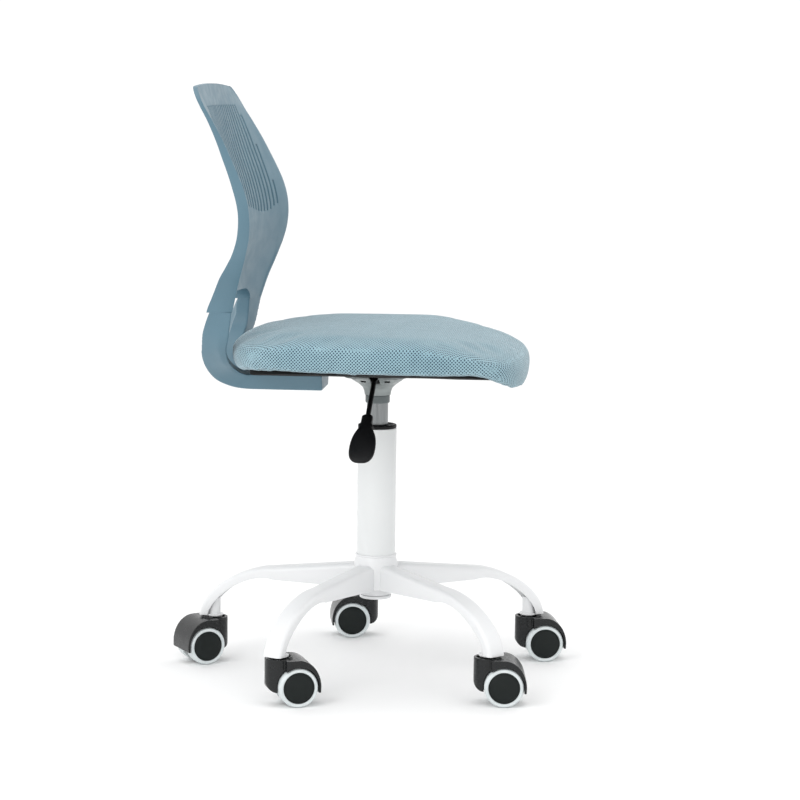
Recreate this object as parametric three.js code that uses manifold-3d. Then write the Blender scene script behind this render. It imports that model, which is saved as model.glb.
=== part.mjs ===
// Armless swivel task chair: five-leg base on twin-wheel casters, gas-lift column,
// stamped seat plate with a release lever, upholstered seat and a one-piece slotted
// plastic back carried by a forked arm that bends forward under the seat.
//
// Millimetres, +Z up.  The origin is on the floor, on the swivel axis.
// The chair faces -Y, so the sitter's right hand is on the -X side.

import * as THREE from 'three';
import Module from 'manifold-3d';
import { mergeVertices } from 'three/addons/utils/BufferGeometryUtils.js';

const wasm = await Module();
wasm.setup();

// ---------------------------------------------------------------- dimensions

const GAP = 0.3;                    // clearance between pieces that touch
const RUNNING_GAP = 0.4;            // clearance between pieces that slide or turn

// casters
const WHEEL_RADIUS = 25;
const CASTER_TRAIL = 20;            // stem axis to wheel axle
const WHEEL_INNER_FACE = 7.6;       // from the caster's middle plane
const WHEEL_OUTER_FACE = 27;
const HUB_CAP_RADIUS = 19.8;
const HOOD_TOP = 60;
const HOOD_BOTTOM = 18.3;
const HOOD_BARREL_RADIUS = 18;
const HOOD_COVER_REACH = 28.5;      // wheel axle to the cover's rear edge
const HOOD_WEB_HALF = 7;
const STEM_RADIUS = 5.5;
const STEM_CIRCLE = 223.5;           // swivel axis to caster stem
const AXLE_RADIUS = 3;

// star base: leg angle and the angle each caster trails towards, in degrees
const LEGS = [
  { angle: 9.1, trail: 100.1 },
  { angle: 81.1, trail: 122.6 },
  { angle: 153.1, trail: -68.9 },
  { angle: 225.1, trail: -84.9 },
  { angle: 297.1, trail: -79.2 },
];
const LEG_WIDTH = 27;
const LEG_WALL = 2;
const LEG_END = 62.8;               // height of the open end above the floor
const LEG_SOCKET_RADIUS = 8.5;
const LEG_SOCKET_TOP = 86;

// hub and gas-lift column
const HUB_RADIUS = 29;
const HUB_NECK_RADIUS = 20;
const HUB_BOTTOM = 104;
const HUB_SHELF = 113;              // underside of the wide part of the hub
const HUB_TOP = 150;
const HUB_WELD_TOP = 158;
const COLUMN_RADIUS = 25.5;
const COLUMN_BORE = 22.5;
const COLUMN_BOTTOM = 115.3;
const COLUMN_TOP = 326;
const COLUMN_CAP_TOP = 330.5;
const CYLINDER_RADIUS = 14;
const CYLINDER_BOTTOM = 146;
const CYLINDER_TOP = 385.5;
const ROD_RADIUS = 5;
const ROD_TOP = 274;

// seat plate, lever and release button
const PLATE_BOTTOM = 369.5;
const PLATE_TOP = 397.7;
const PLATE_HALF_X = 58;
const PLATE_HALF_Y = 43;
const PLATE_SHEET = 2.4;
const LEVER_ROD_RADIUS = 3.2;
const LEVER_HEIGHT = 394;           // straight inner run of the rod
const LEVER_BEND_X = -46;
const LEVER_SLOPE = 0.47;           // drop per millimetre outward
const PADDLE_START_X = -128;
const PADDLE_LENGTH = 103;
const PADDLE_THICKNESS = 9;

// seat
const SEAT_FRONT = -198.5;
const SEAT_REAR = 186.5;
const SEAT_HALF_WIDTH = 199;
const SEAT_TAPER = 0.055;           // narrower towards the back
const SEAT_CORNER_POWER = 3;        // superellipse exponent of the plan
const SEAT_CROWN = 465;             // top of the cushion at its middle
const PAN_UNDERSIDE = 398;
const PAN_THICKNESS = 8;
const PAN_SCALE = 0.89;             // pan outline as a share of the cushion's
const CUSHION_CLEARANCE = 0.9;      // cushion above the pan

// back
const BACK_SPLIT = 484.5;           // shell above, forked arm below
const SHELL_SHEET = 5;
const WINDOW_TOP = 500;             // lower edge of the slotted part
const SLOT_PITCH = 12.5;
const SLOT_WIDTH = 5;
const SLOTS_EACH_SIDE = 12;
const STRUT_INNER = 88;             // half the width of the opening between struts
const TONGUE_HALF = 42;
const TONGUE_FRONT = 69;

// ----------------------------------------------------------------- materials

function finish(color, roughness, metalness) {
  return new THREE.MeshStandardMaterial({ color, roughness, metalness });
}

const MATERIALS = {
  whitePaint: finish(0xe9ebec, 0.35, 0.1),
  blackGloss: finish(0x16181a, 0.25, 0.0),
  blackMatte: finish(0x1b1c1d, 0.6, 0.0),
  paleTread: finish(0xd5dcdb, 0.55, 0.0),
  steel: finish(0x9aa0a2, 0.3, 0.9),
  greyZinc: finish(0xa5aaa8, 0.45, 0.6),
  darkGrey: finish(0x5f6568, 0.5, 0.3),
  bluePlastic: finish(0x6d95a8, 0.45, 0.0),
  tealFabric: finish(0x86b0bb, 0.95, 0.0),
  blackBoard: finish(0x141516, 0.85, 0.0),
};

// ------------------------------------------------------------------- helpers

// Keeps positions only, welds them, drops collapsed triangles and turns every face outward.
function closedMesh(source) {
  const bare = new THREE.BufferGeometry();
  const flat = source.index ? source : mergeVertices(source);
  bare.setAttribute('position', flat.getAttribute('position').clone());
  bare.setIndex(Array.from(flat.index.array));
  const welded = mergeVertices(bare, 1e-4);
  const index = Array.from(welded.index.array);
  const kept = [];
  for (let i = 0; i < index.length; i += 3) {
    const [a, b, c] = index.slice(i, i + 3);
    if (a !== b && b !== c && c !== a) kept.push(a, b, c);
  }
  const position = welded.getAttribute('position');
  const corner = [new THREE.Vector3(), new THREE.Vector3(), new THREE.Vector3()];
  let volume = 0;
  for (let i = 0; i < kept.length; i += 3) {
    corner.forEach((point, k) => point.fromBufferAttribute(position, kept[i + k]));
    volume += corner[0].dot(corner[1].clone().cross(corner[2]));
  }
  if (volume < 0) kept.reverse();
  welded.setIndex(kept);
  welded.computeVertexNormals();
  return welded;
}

function toSolid(source) {
  const mesh = closedMesh(source);
  return new wasm.Manifold(new wasm.Mesh({
    numProp: 3,
    vertProperties: new Float32Array(mesh.getAttribute('position').array),
    triVerts: new Uint32Array(mesh.index.array),
  }));
}

function toGeometry(solid) {
  const mesh = solid.getMesh();
  const geometry = new THREE.BufferGeometry();
  geometry.setAttribute('position', new THREE.BufferAttribute(mesh.vertProperties, 3));
  geometry.setIndex(Array.from(mesh.triVerts));
  geometry.computeVertexNormals();
  return geometry;
}

function join(first, ...others) {
  return toGeometry(others.reduce((sum, item) => sum.add(toSolid(item)), toSolid(first)));
}

function cut(first, ...others) {
  return toGeometry(others.reduce((sum, item) => sum.subtract(toSolid(item)), toSolid(first)));
}

function common(first, second) {
  return toGeometry(toSolid(first).intersect(toSolid(second)));
}

// Turns a profile of [radius, height] points round the Z axis.
function turned(profile, segments) {
  const points = profile.map(([radius, height]) => new THREE.Vector2(radius, height));
  const geometry = new THREE.LatheGeometry(points, segments);
  geometry.rotateX(Math.PI / 2);
  return closedMesh(geometry);
}

// A ring or sleeve: the profile closes on itself.
function turnedRing(profile, segments) {
  return turned([...profile, profile[0]], segments);
}

function cylinder(radius, bottom, top, segments) {
  return turned([[0, bottom], [radius, bottom], [radius, top], [0, top]], segments);
}

function box(x0, x1, y0, y1, z0, z1) {
  const geometry = new THREE.BoxGeometry(x1 - x0, y1 - y0, z1 - z0);
  geometry.translate((x0 + x1) / 2, (y0 + y1) / 2, (z0 + z1) / 2);
  return closedMesh(geometry);
}

// An outline in the XZ plane pulled from y0 to y1.
function slabAcrossY(outline, y0, y1) {
  const shape = new THREE.Shape(outline.map(([x, z]) => new THREE.Vector2(x, z)));
  const geometry = new THREE.ExtrudeGeometry(shape, { depth: y1 - y0, bevelEnabled: false });
  geometry.rotateX(Math.PI / 2);
  geometry.translate(0, y1, 0);
  return closedMesh(geometry);
}

function arc(cx, cz, rx, rz, from, to, steps) {
  return Array.from({ length: steps + 1 }, (_, i) => {
    const angle = THREE.MathUtils.degToRad(from + ((to - from) * i) / steps);
    return [cx + rx * Math.cos(angle), cz + rz * Math.sin(angle)];
  });
}

// Fills a loop, running its triangles with the loop or against it.
function capTriangles(flat, offset, against) {
  const follows = Math.sign(THREE.ShapeUtils.area(flat));
  return THREE.ShapeUtils.triangulateShape(flat.slice(), []).flatMap(([a, b, c]) => {
    const same = Math.sign(THREE.ShapeUtils.area([flat[a], flat[b], flat[c]])) === follows;
    const face = same === against ? [c, b, a] : [a, b, c];
    return face.map((corner) => corner + offset);
  });
}

// Skins a row of equal-length closed loops; flats[i] is loop i in its own plane.
function loft(loops, flats) {
  const count = loops[0].length;
  const positions = loops.flat().flatMap((point) => [point.x, point.y, point.z]);
  const index = [];
  for (let ring = 0; ring < loops.length - 1; ring += 1) {
    for (let i = 0; i < count; i += 1) {
      const a = ring * count + i;
      const b = ring * count + ((i + 1) % count);
      index.push(a, b, a + count, b, b + count, a + count);
    }
  }
  const last = loops.length - 1;
  index.push(...capTriangles(flats[0], 0, true));
  index.push(...capTriangles(flats[last], last * count, false));
  const geometry = new THREE.BufferGeometry();
  geometry.setAttribute('position', new THREE.Float32BufferAttribute(positions, 3));
  geometry.setIndex(index);
  return closedMesh(geometry);
}

function smoothstep(value, start, end) {
  const t = THREE.MathUtils.clamp((value - start) / (end - start), 0, 1);
  return t * t * (3 - 2 * t);
}

// Reads a smooth curve through [x, y] pairs with rising x.
function curveThrough(pairs) {
  const tangent = pairs.map((_, i) => {
    const before = pairs[Math.max(i - 1, 0)];
    const after = pairs[Math.min(i + 1, pairs.length - 1)];
    return (after[1] - before[1]) / (after[0] - before[0]);
  });
  return (x) => {
    let i = 0;
    while (i < pairs.length - 2 && x > pairs[i + 1][0]) i += 1;
    const [x0, y0] = pairs[i];
    const [x1, y1] = pairs[i + 1];
    const span = x1 - x0;
    const t = THREE.MathUtils.clamp((x - x0) / span, 0, 1);
    const hermite = (1 + 2 * t) * (1 - t) ** 2 * y0 + t * t * (3 - 2 * t) * y1;
    return hermite + span * (t * (1 - t) ** 2 * tangent[i] - t * t * (1 - t) * tangent[i + 1]);
  };
}

const chair = new THREE.Group();

function addPart(parent, name, geometry, material) {
  const mesh = new THREE.Mesh(geometry, material);
  mesh.name = name;
  parent.add(mesh);
  return mesh;
}

function turnedGroup(parent, x, y, degrees) {
  const group = new THREE.Group();
  group.position.set(x, y, 0);
  group.rotation.z = THREE.MathUtils.degToRad(degrees);
  parent.add(group);
  return group;
}

// ------------------------------------------------------------------- casters
// Each caster is drawn with its stem on Z and its wheels trailing towards +X.

function hoodGeometry() {
  const outline = [
    ...arc(-6, 30.3, 12, 12, 180, 270, 4),
    [CASTER_TRAIL + HOOD_COVER_REACH - 0.4, HOOD_BOTTOM],
    ...arc(CASTER_TRAIL, WHEEL_RADIUS, HOOD_COVER_REACH, HOOD_TOP - WHEEL_RADIUS, 0, 90, 7),
    [-HOOD_BARREL_RADIUS, HOOD_TOP],
  ];
  const side = slabAcrossY(outline, -WHEEL_OUTER_FACE, WHEEL_OUTER_FACE);
  const plan = join(
    cylinder(HOOD_BARREL_RADIUS, 0, HOOD_TOP + 10, 24),
    box(4, 60, -WHEEL_OUTER_FACE, WHEEL_OUTER_FACE, 0, HOOD_TOP + 10),
  );
  const well = cylinder(WHEEL_RADIUS + 1, HOOD_WEB_HALF, WHEEL_OUTER_FACE + 1, 24);
  well.rotateX(-Math.PI / 2);
  well.translate(CASTER_TRAIL, 0, WHEEL_RADIUS);
  const otherWell = well.clone();
  otherWell.rotateZ(Math.PI);
  otherWell.translate(2 * CASTER_TRAIL, 0, 0);
  const axleHole = cylinder(AXLE_RADIUS + GAP, -10, 10, 12);
  axleHole.rotateX(Math.PI / 2);
  axleHole.translate(CASTER_TRAIL, 0, WHEEL_RADIUS);
  const stemHole = cylinder(STEM_RADIUS + RUNNING_GAP, 28, HOOD_TOP + 1, 12);
  return cut(common(side, plan), well, otherWell, axleHole, stemHole);
}

function stemGeometry() {
  return turned([
    [0, 29], [STEM_RADIUS, 29], [STEM_RADIUS, HOOD_TOP + 0.4],
    [8, HOOD_TOP + 0.4], [8, LEG_END - GAP], [STEM_RADIUS, LEG_END - GAP],
    [STEM_RADIUS, LEG_SOCKET_TOP - 4], [STEM_RADIUS - 2, LEG_SOCKET_TOP - 2],
    [0, LEG_SOCKET_TOP - 2],
  ], 12);
}

function axleGeometry() {
  const geometry = cylinder(AXLE_RADIUS, -(WHEEL_OUTER_FACE - 5), WHEEL_OUTER_FACE - 5, 10);
  geometry.rotateX(Math.PI / 2);
  return geometry;
}

// Wheel pieces are turned about Z and then laid along the axle.
function wheelCoreGeometry() {
  return turned([
    [0, WHEEL_OUTER_FACE - 3], [AXLE_RADIUS + RUNNING_GAP, WHEEL_OUTER_FACE - 3],
    [AXLE_RADIUS + RUNNING_GAP, WHEEL_INNER_FACE], [HUB_CAP_RADIUS, WHEEL_INNER_FACE + 0.6],
    [HUB_CAP_RADIUS, WHEEL_OUTER_FACE - 1.5], [HUB_CAP_RADIUS - 2, WHEEL_OUTER_FACE],
    [0, WHEEL_OUTER_FACE],
  ], 16);
}

function treadGeometry() {
  const inner = HUB_CAP_RADIUS + GAP;
  return turnedRing([
    [inner, WHEEL_INNER_FACE + 0.6], [WHEEL_RADIUS - 1, WHEEL_INNER_FACE + 0.6],
    [WHEEL_RADIUS, WHEEL_INNER_FACE + 4], [WHEEL_RADIUS, WHEEL_OUTER_FACE - 5],
    [WHEEL_RADIUS - 2, WHEEL_OUTER_FACE - 1], [inner, WHEEL_OUTER_FACE - 1],
  ], 20);
}

function addCaster(number, legAngle, trailAngle) {
  const turn = THREE.MathUtils.degToRad(legAngle);
  const x = STEM_CIRCLE * Math.cos(turn);
  const y = STEM_CIRCLE * Math.sin(turn);
  const caster = turnedGroup(chair, x, y, trailAngle);
  addPart(caster, `caster_stem_${number}`, stemGeometry(), MATERIALS.steel);
  addPart(caster, `caster_hood_${number}`, hoodGeometry(), MATERIALS.blackGloss);
  const axle = addPart(caster, `caster_axle_${number}`, axleGeometry(), MATERIALS.steel);
  axle.position.set(CASTER_TRAIL, 0, WHEEL_RADIUS);
  for (const [side, flip] of [['left', -1], ['right', 1]]) {
    const wheel = new THREE.Group();
    wheel.position.set(CASTER_TRAIL, 0, WHEEL_RADIUS);
    wheel.rotation.x = (flip * Math.PI) / 2;
    caster.add(wheel);
    addPart(wheel, `wheel_core_${number}_${side}`, wheelCoreGeometry(), MATERIALS.blackMatte);
    addPart(wheel, `wheel_tread_${number}_${side}`, treadGeometry(), MATERIALS.paleTread);
  }
}

// ----------------------------------------------------------------- star base

// A leg is an inverted channel between an upper and a lower edge curve in (radius, height).
function legEdges(t) {
  const knee = 0.5;
  const upperStart = new THREE.Vector2(24, 146);
  const upperKnee = new THREE.Vector2(140, 133.5);
  const lowerStart = new THREE.Vector2(24, 113);
  const lowerKnee = new THREE.Vector2(138, 116.5);
  if (t <= knee) {
    const share = t / knee;
    return [upperStart.lerp(upperKnee, share), lowerStart.lerp(lowerKnee, share)];
  }
  const share = (t - knee) / (1 - knee);
  const upper = new THREE.CubicBezierCurve(
    upperKnee, new THREE.Vector2(175, 131.5), new THREE.Vector2(236, 106), new THREE.Vector2(242, LEG_END),
  );
  const lower = new THREE.CubicBezierCurve(
    lowerKnee, new THREE.Vector2(173, 127), new THREE.Vector2(226.5, 87), new THREE.Vector2(229, LEG_END),
  );
  return [upper.getPoint(share), lower.getPoint(share)];
}

function channelSection(depth) {
  const half = LEG_WIDTH / 2;
  const inside = half - LEG_WALL;
  const corner = Math.min(7, depth * 0.4);
  const roof = depth - LEG_WALL;
  return [
    [-half, 0], [-half, depth - corner], [-half + corner * 0.3, depth - corner * 0.3],
    [-half + corner, depth], [half - corner, depth], [half - corner * 0.3, depth - corner * 0.3],
    [half, depth - corner], [half, 0], [inside, 0], [inside, roof - corner],
    [inside - corner, roof], [-inside + corner, roof], [-inside, roof - corner], [-inside, 0],
  ].map(([across, up]) => new THREE.Vector2(across, up));
}

function legGeometry() {
  const loops = [];
  const flats = [];
  const stations = [0, 0.5, 0.6, 0.68, 0.76, 0.84, 0.92, 1];
  for (const t of stations) {
    const [upper, lower] = legEdges(t);
    const rise = upper.clone().sub(lower);
    const depth = rise.length();
    rise.normalize();
    const flat = channelSection(depth);
    flats.push(flat);
    loops.push(flat.map((point) => new THREE.Vector3(
      lower.x + rise.x * point.y, point.x, lower.y + rise.y * point.y,
    )));
  }
  const socket = cylinder(LEG_SOCKET_RADIUS, LEG_END, LEG_SOCKET_TOP, 16);
  socket.translate(STEM_CIRCLE, 0, 0);
  const lip = LEG_WIDTH / 2 - LEG_WALL / 2;
  const web = box(STEM_CIRCLE + 3, STEM_CIRCLE + 14.5, -lip, lip, LEG_END + 5, LEG_END + 9);
  const bore = cylinder(STEM_RADIUS + GAP, LEG_END - 1, LEG_SOCKET_TOP - 1, 12);
  bore.translate(STEM_CIRCLE, 0, 0);
  const hubClearance = cylinder(HUB_RADIUS + GAP, 90, 170, 32);
  return cut(join(loft(loops, flats), socket, web), bore, hubClearance);
}

function hubGeometry() {
  const bore = COLUMN_RADIUS + GAP;
  return turnedRing([
    [12, HUB_BOTTOM], [HUB_NECK_RADIUS, HUB_BOTTOM], [HUB_NECK_RADIUS, HUB_SHELF],
    [HUB_RADIUS, HUB_SHELF], [HUB_RADIUS, HUB_TOP], [bore + 0.8, HUB_WELD_TOP],
    [bore, HUB_WELD_TOP], [bore, COLUMN_BOTTOM - GAP], [12, COLUMN_BOTTOM - GAP],
  ], 28);
}

function addBase() {
  addPart(chair, 'base_hub', hubGeometry(), MATERIALS.whitePaint);
  const cap = cylinder(21, HUB_BOTTOM - 4.3, HUB_BOTTOM - GAP, 28);
  addPart(chair, 'base_hub_cap', cap, MATERIALS.whitePaint);
  LEGS.forEach(({ angle, trail }, i) => {
    const leg = turnedGroup(chair, 0, 0, angle);
    addPart(leg, `base_leg_${i + 1}`, legGeometry(), MATERIALS.whitePaint);
    addCaster(i + 1, angle, trail);
  });
}

// ------------------------------------------------------------------ gas lift

function addGasLift() {
  const rodHole = ROD_RADIUS + RUNNING_GAP;
  const floor = COLUMN_BOTTOM + 3.7;
  const bearingTop = floor + 6;
  addPart(chair, 'column_tube', turnedRing([
    [rodHole, COLUMN_BOTTOM], [COLUMN_RADIUS, COLUMN_BOTTOM], [COLUMN_RADIUS, COLUMN_TOP],
    [COLUMN_BORE, COLUMN_TOP], [COLUMN_BORE, floor], [rodHole, floor],
  ], 32), MATERIALS.whitePaint);
  addPart(chair, 'column_cap', turnedRing([
    [CYLINDER_RADIUS + RUNNING_GAP, 288], [COLUMN_BORE - GAP, 288],
    [COLUMN_BORE - GAP, COLUMN_TOP + GAP], [COLUMN_RADIUS - 0.2, COLUMN_TOP + GAP],
    [COLUMN_RADIUS - 0.2, COLUMN_CAP_TOP - 2], [COLUMN_RADIUS - 3, COLUMN_CAP_TOP],
    [CYLINDER_RADIUS + RUNNING_GAP, COLUMN_CAP_TOP],
  ], 24), MATERIALS.blackMatte);
  addPart(chair, 'thrust_bearing', turnedRing([
    [rodHole, floor + GAP], [16, floor + GAP], [16, bearingTop], [rodHole, bearingTop],
  ], 20), MATERIALS.steel);
  addPart(chair, 'piston_rod', turned([
    [0, 108], [ROD_RADIUS, 108], [ROD_RADIUS, bearingTop + GAP], [9, bearingTop + GAP],
    [9, bearingTop + 5], [ROD_RADIUS, bearingTop + 5], [ROD_RADIUS, ROD_TOP - 12],
    [11, ROD_TOP - 12], [11, ROD_TOP], [0, ROD_TOP],
  ], 16), MATERIALS.steel);
  addPart(chair, 'retaining_clip', turnedRing([
    [ROD_RADIUS + GAP, 112.5], [9, 112.5], [9, 114.5], [ROD_RADIUS + GAP, 114.5],
  ], 16), MATERIALS.steel);
  addPart(chair, 'gas_cylinder', turned([
    [0, 300], [11.5, 300], [11.5, CYLINDER_BOTTOM + 10], [rodHole, CYLINDER_BOTTOM + 10],
    [rodHole, CYLINDER_BOTTOM], [CYLINDER_RADIUS, CYLINDER_BOTTOM],
    [CYLINDER_RADIUS, CYLINDER_TOP - 20], [CYLINDER_RADIUS - 0.8, CYLINDER_TOP],
    [5.8, CYLINDER_TOP], [5.8, CYLINDER_TOP - 13], [0, CYLINDER_TOP - 13],
  ], 24), MATERIALS.steel);
  addPart(chair, 'release_button', cylinder(5.2, CYLINDER_TOP - 8.5, 390.4, 14), MATERIALS.steel);
  addPart(chair, 'cylinder_collar', turnedRing([
    [CYLINDER_RADIUS + GAP, 359], [16, 359], [16, PLATE_BOTTOM - GAP],
    [CYLINDER_RADIUS + GAP, PLATE_BOTTOM - GAP],
  ], 28), MATERIALS.darkGrey);
}

// -------------------------------------------------------- seat plate and lever

function roundedLoop(halfX, halfY, power, height, segments) {
  return Array.from({ length: segments }, (_, i) => {
    const angle = (2 * Math.PI * i) / segments;
    const c = Math.cos(angle);
    const s = Math.sin(angle);
    const x = halfX * Math.sign(c) * Math.abs(c) ** (2 / power);
    const y = halfY * Math.sign(s) * Math.abs(s) ** (2 / power);
    return new THREE.Vector3(x, y, height);
  });
}

function loftUp(rings, segments) {
  const loops = rings.map(([x, y, power, z]) => roundedLoop(x, y, power, z, segments));
  const flats = loops.map((loop) => loop.map((point) => new THREE.Vector2(point.x, point.y)));
  return loft(loops, flats);
}

function seatPlateGeometry() {
  const bore = CYLINDER_RADIUS + GAP;
  const outer = loftUp([
    [17, 17, 2, PLATE_BOTTOM], [18, 18, 2, 377], [25, 25, 2, 384],
    [36, 30, 2.4, 389], [52, 37, 2.8, PLATE_TOP - 1],
  ], 24);
  const inner = loftUp([
    [bore, bore, 2, PLATE_BOTTOM - 1], [bore, bore, 2, 383], [22, 22, 2, 386],
    [34, 28, 2.4, 391], [50, 35, 2.8, PLATE_TOP + 1],
  ], 24);
  const flange = loftUp([
    [PLATE_HALF_X, PLATE_HALF_Y, 3, PLATE_TOP - PLATE_SHEET], [PLATE_HALF_X, PLATE_HALF_Y, 3, PLATE_TOP],
  ], 20);
  const leverSlot = box(-PLATE_HALF_X - 5, LEVER_BEND_X + 24, -6, 6, 380, PLATE_TOP + 2);
  const slots = [-1, 1].map((side) => box(
    -48, 48, side * 17 - 4.5, side * 17 + 4.5, 388, 391,
  ));
  return cut(join(outer, flange), inner, leverSlot, ...slots);
}

function leverPoint(x) {
  const drop = Math.max(0, LEVER_BEND_X - x) * LEVER_SLOPE;
  return new THREE.Vector3(x, 0, LEVER_HEIGHT - drop);
}

function leverRodGeometry() {
  const path = new THREE.CurvePath();
  const innerEnd = leverPoint(7);
  const bendIn = leverPoint(LEVER_BEND_X + 8);
  const bendOut = leverPoint(LEVER_BEND_X - 8);
  const outerEnd = leverPoint(PADDLE_START_X - 30);
  path.add(new THREE.LineCurve3(innerEnd, bendIn));
  path.add(new THREE.QuadraticBezierCurve3(bendIn, leverPoint(LEVER_BEND_X), bendOut));
  path.add(new THREE.LineCurve3(bendOut, outerEnd));
  const section = new THREE.Shape();
  section.absarc(0, 0, LEVER_ROD_RADIUS, 0, 2 * Math.PI, false);
  const options = { steps: 12, curveSegments: 5, extrudePath: path, bevelEnabled: false };
  return closedMesh(new THREE.ExtrudeGeometry(section, options));
}

// The paddle lies along +X from its neck, flat in XY, and is then tipped down the lever's slope.
function addLeverPaddle() {
  const rings = [
    [0, 7.5, 6], [22, 7.5, 6.5], [24, 10, 6.5], [34, 9.5, 6.5], [52, 14.5, PADDLE_THICKNESS / 2],
    [74, 16.5, PADDLE_THICKNESS / 2], [90, 15, PADDLE_THICKNESS / 2 - 0.5],
    [99, 10, 3], [PADDLE_LENGTH, 4, 1.6],
  ];
  const loops = rings.map(([x, halfY, halfZ]) => roundedLoop(halfY, halfZ, 2.6, 0, 16)
    .map((point) => new THREE.Vector3(x, point.x, point.y)));
  const flats = loops.map((loop) => loop.map((point) => new THREE.Vector2(point.y, point.z)));
  const hole = cylinder(LEVER_ROD_RADIUS + GAP, -1, 34, 14);
  hole.rotateY(Math.PI / 2);
  const paddle = addPart(chair, 'lever_paddle', cut(loft(loops, flats), hole), MATERIALS.blackMatte);
  paddle.position.copy(leverPoint(PADDLE_START_X));
  paddle.rotation.y = Math.PI - Math.atan(LEVER_SLOPE);
}

// ---------------------------------------------------------------------- seat

const SEAT_MIDDLE_Y = (SEAT_FRONT + SEAT_REAR) / 2;
const SEAT_HALF_DEPTH = (SEAT_REAR - SEAT_FRONT) / 2;

function seatPlanPoint(angle, scale) {
  const c = Math.cos(angle);
  const s = Math.sin(angle);
  const power = 2 / SEAT_CORNER_POWER;
  const along = scale * Math.sign(s) * Math.abs(s) ** power;
  const across = scale * Math.sign(c) * Math.abs(c) ** power;
  return {
    x: SEAT_HALF_WIDTH * across * (1 - SEAT_TAPER * along),
    y: SEAT_MIDDLE_Y + SEAT_HALF_DEPTH * along,
  };
}

// The pan is flat over the seat plate and turns up towards both sides.
function panUnderside(x) {
  const beyond = Math.max(0, Math.abs(x) - 52);
  return PAN_UNDERSIDE + (0.15 * beyond * beyond) / (beyond + 20);
}

function panTop(x) {
  return panUnderside(x) + PAN_THICKNESS;
}

// Lower edge of the upholstery: level along the sides, dropping into the front lip.
function rimHeight(x, y) {
  const frontDrop = 28 * smoothstep(-y, 128, 198) ** 1.3;
  const rearDrop = 7 * smoothstep(y, 120, 180) * (1 - Math.abs(x) / 200);
  return 417 - frontDrop - rearDrop;
}

function seatShell(rings, segments, zAt) {
  const positions = [];
  const index = [];
  rings.forEach(({ scale }, row) => {
    for (let i = 0; i < segments; i += 1) {
      const { x, y } = seatPlanPoint((2 * Math.PI * i) / segments, scale);
      positions.push(x, y, zAt(x, y, row));
    }
  });
  for (let row = 0; row < rings.length - 1; row += 1) {
    for (let i = 0; i < segments; i += 1) {
      const a = row * segments + i;
      const b = row * segments + ((i + 1) % segments);
      index.push(a, b, a + segments, b, b + segments, a + segments);
    }
  }
  const lowMiddle = positions.length / 3;
  positions.push(0, SEAT_MIDDLE_Y, zAt(0, SEAT_MIDDLE_Y, 0));
  positions.push(0, SEAT_MIDDLE_Y, zAt(0, SEAT_MIDDLE_Y, rings.length - 1));
  const top = (rings.length - 1) * segments;
  for (let i = 0; i < segments; i += 1) {
    const next = (i + 1) % segments;
    index.push(lowMiddle, next, i);
    index.push(lowMiddle + 1, top + i, top + next);
  }
  const geometry = new THREE.BufferGeometry();
  geometry.setAttribute('position', new THREE.Float32BufferAttribute(positions, 3));
  geometry.setIndex(index);
  return closedMesh(geometry);
}

function cushionGeometry() {
  const rings = [
    { scale: 0.45, level: 'pan' }, { scale: 0.72, level: 'pan' }, { scale: PAN_SCALE + 0.01, level: 'pan' },
    { scale: PAN_SCALE + 0.025, level: 'rim' },
    { scale: 0.955, level: 'rim' }, { scale: 0.99, lift: 0.25 }, { scale: 1, lift: 0.5 },
    { scale: 0.985, lift: 0.72 }, { scale: 0.945, lift: 0.86 }, { scale: 0.86, lift: 0.955 },
    { scale: 0.66, lift: 0.99 }, { scale: 0.35, lift: 1 },
  ];
  return seatShell(rings, 36, (x, y, row) => {
    const ring = rings[row];
    if (ring.level === 'pan') return panTop(x) + CUSHION_CLEARANCE;
    const rim = rimHeight(x, y);
    if (ring.level === 'rim') return rim;
    const ends = 8 * smoothstep(y, 60, 190) + 17 * smoothstep(-y, 60, 195);
    const crown = SEAT_CROWN - ends - 5 * (x / SEAT_HALF_WIDTH) ** 2;
    return rim + (crown - rim) * ring.lift;
  });
}

function panGeometry() {
  const rings = [0.45, 0.72, PAN_SCALE, PAN_SCALE, 0.72, 0.45];
  const shells = rings.map((scale) => ({ scale }));
  return seatShell(shells, 36, (x, y, row) => (row < 3 ? panUnderside(x) : panTop(x)));
}

function addSeat() {
  addPart(chair, 'seat_plate', seatPlateGeometry(), MATERIALS.greyZinc);
  addPart(chair, 'lever_rod', leverRodGeometry(), MATERIALS.blackMatte);
  addLeverPaddle();
  addPart(chair, 'seat_pan', panGeometry(), MATERIALS.blackBoard);
  addPart(chair, 'seat_cushion', cushionGeometry(), MATERIALS.tealFabric);
}

// ---------------------------------------------------------------------- back
// Curves against height: half width, front edge of the rim, and the middle of the front face.

const halfWidthAt = curveThrough([
  [476, 128], [495, 134], [515, 146], [530, 157], [545, 166.5], [560, 174.5],
  [580, 180.5], [610, 183.5], [650, 180], [700, 168.5], [735, 160],
]);
const edgeFrontAt = curveThrough([
  [476, 175.5], [490, 171.5], [514, 164.8], [530, 159.2], [545, 154.2], [560, 149.4],
  [580, 144.8], [600, 143.4], [620, 145.2], [640, 150.6], [660, 159.1], [680, 168.7],
  [700, 178.8], [720, 190.3], [740, 201.8], [755, 209.5], [775, 219],
]);
const middleFrontAt = curveThrough([
  [476, 190], [500, 191], [521, 191], [539, 186.5], [568, 177.5], [594, 174.5],
  [613, 175.5], [647, 184], [692, 198.5], [742, 212], [775, 220.5],
]);
const flangeDepthAt = curveThrough([
  [476, 32], [490, 32], [503, 29.5], [515, 27.2], [530, 25], [545, 20.5], [560, 16.8],
  [580, 14.6], [600, 13.4], [640, 13.3], [660, 11.8], [680, 10.4], [700, 8.5], [720, 6.5],
  [740, 5.4], [775, 5.4],
]);

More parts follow.
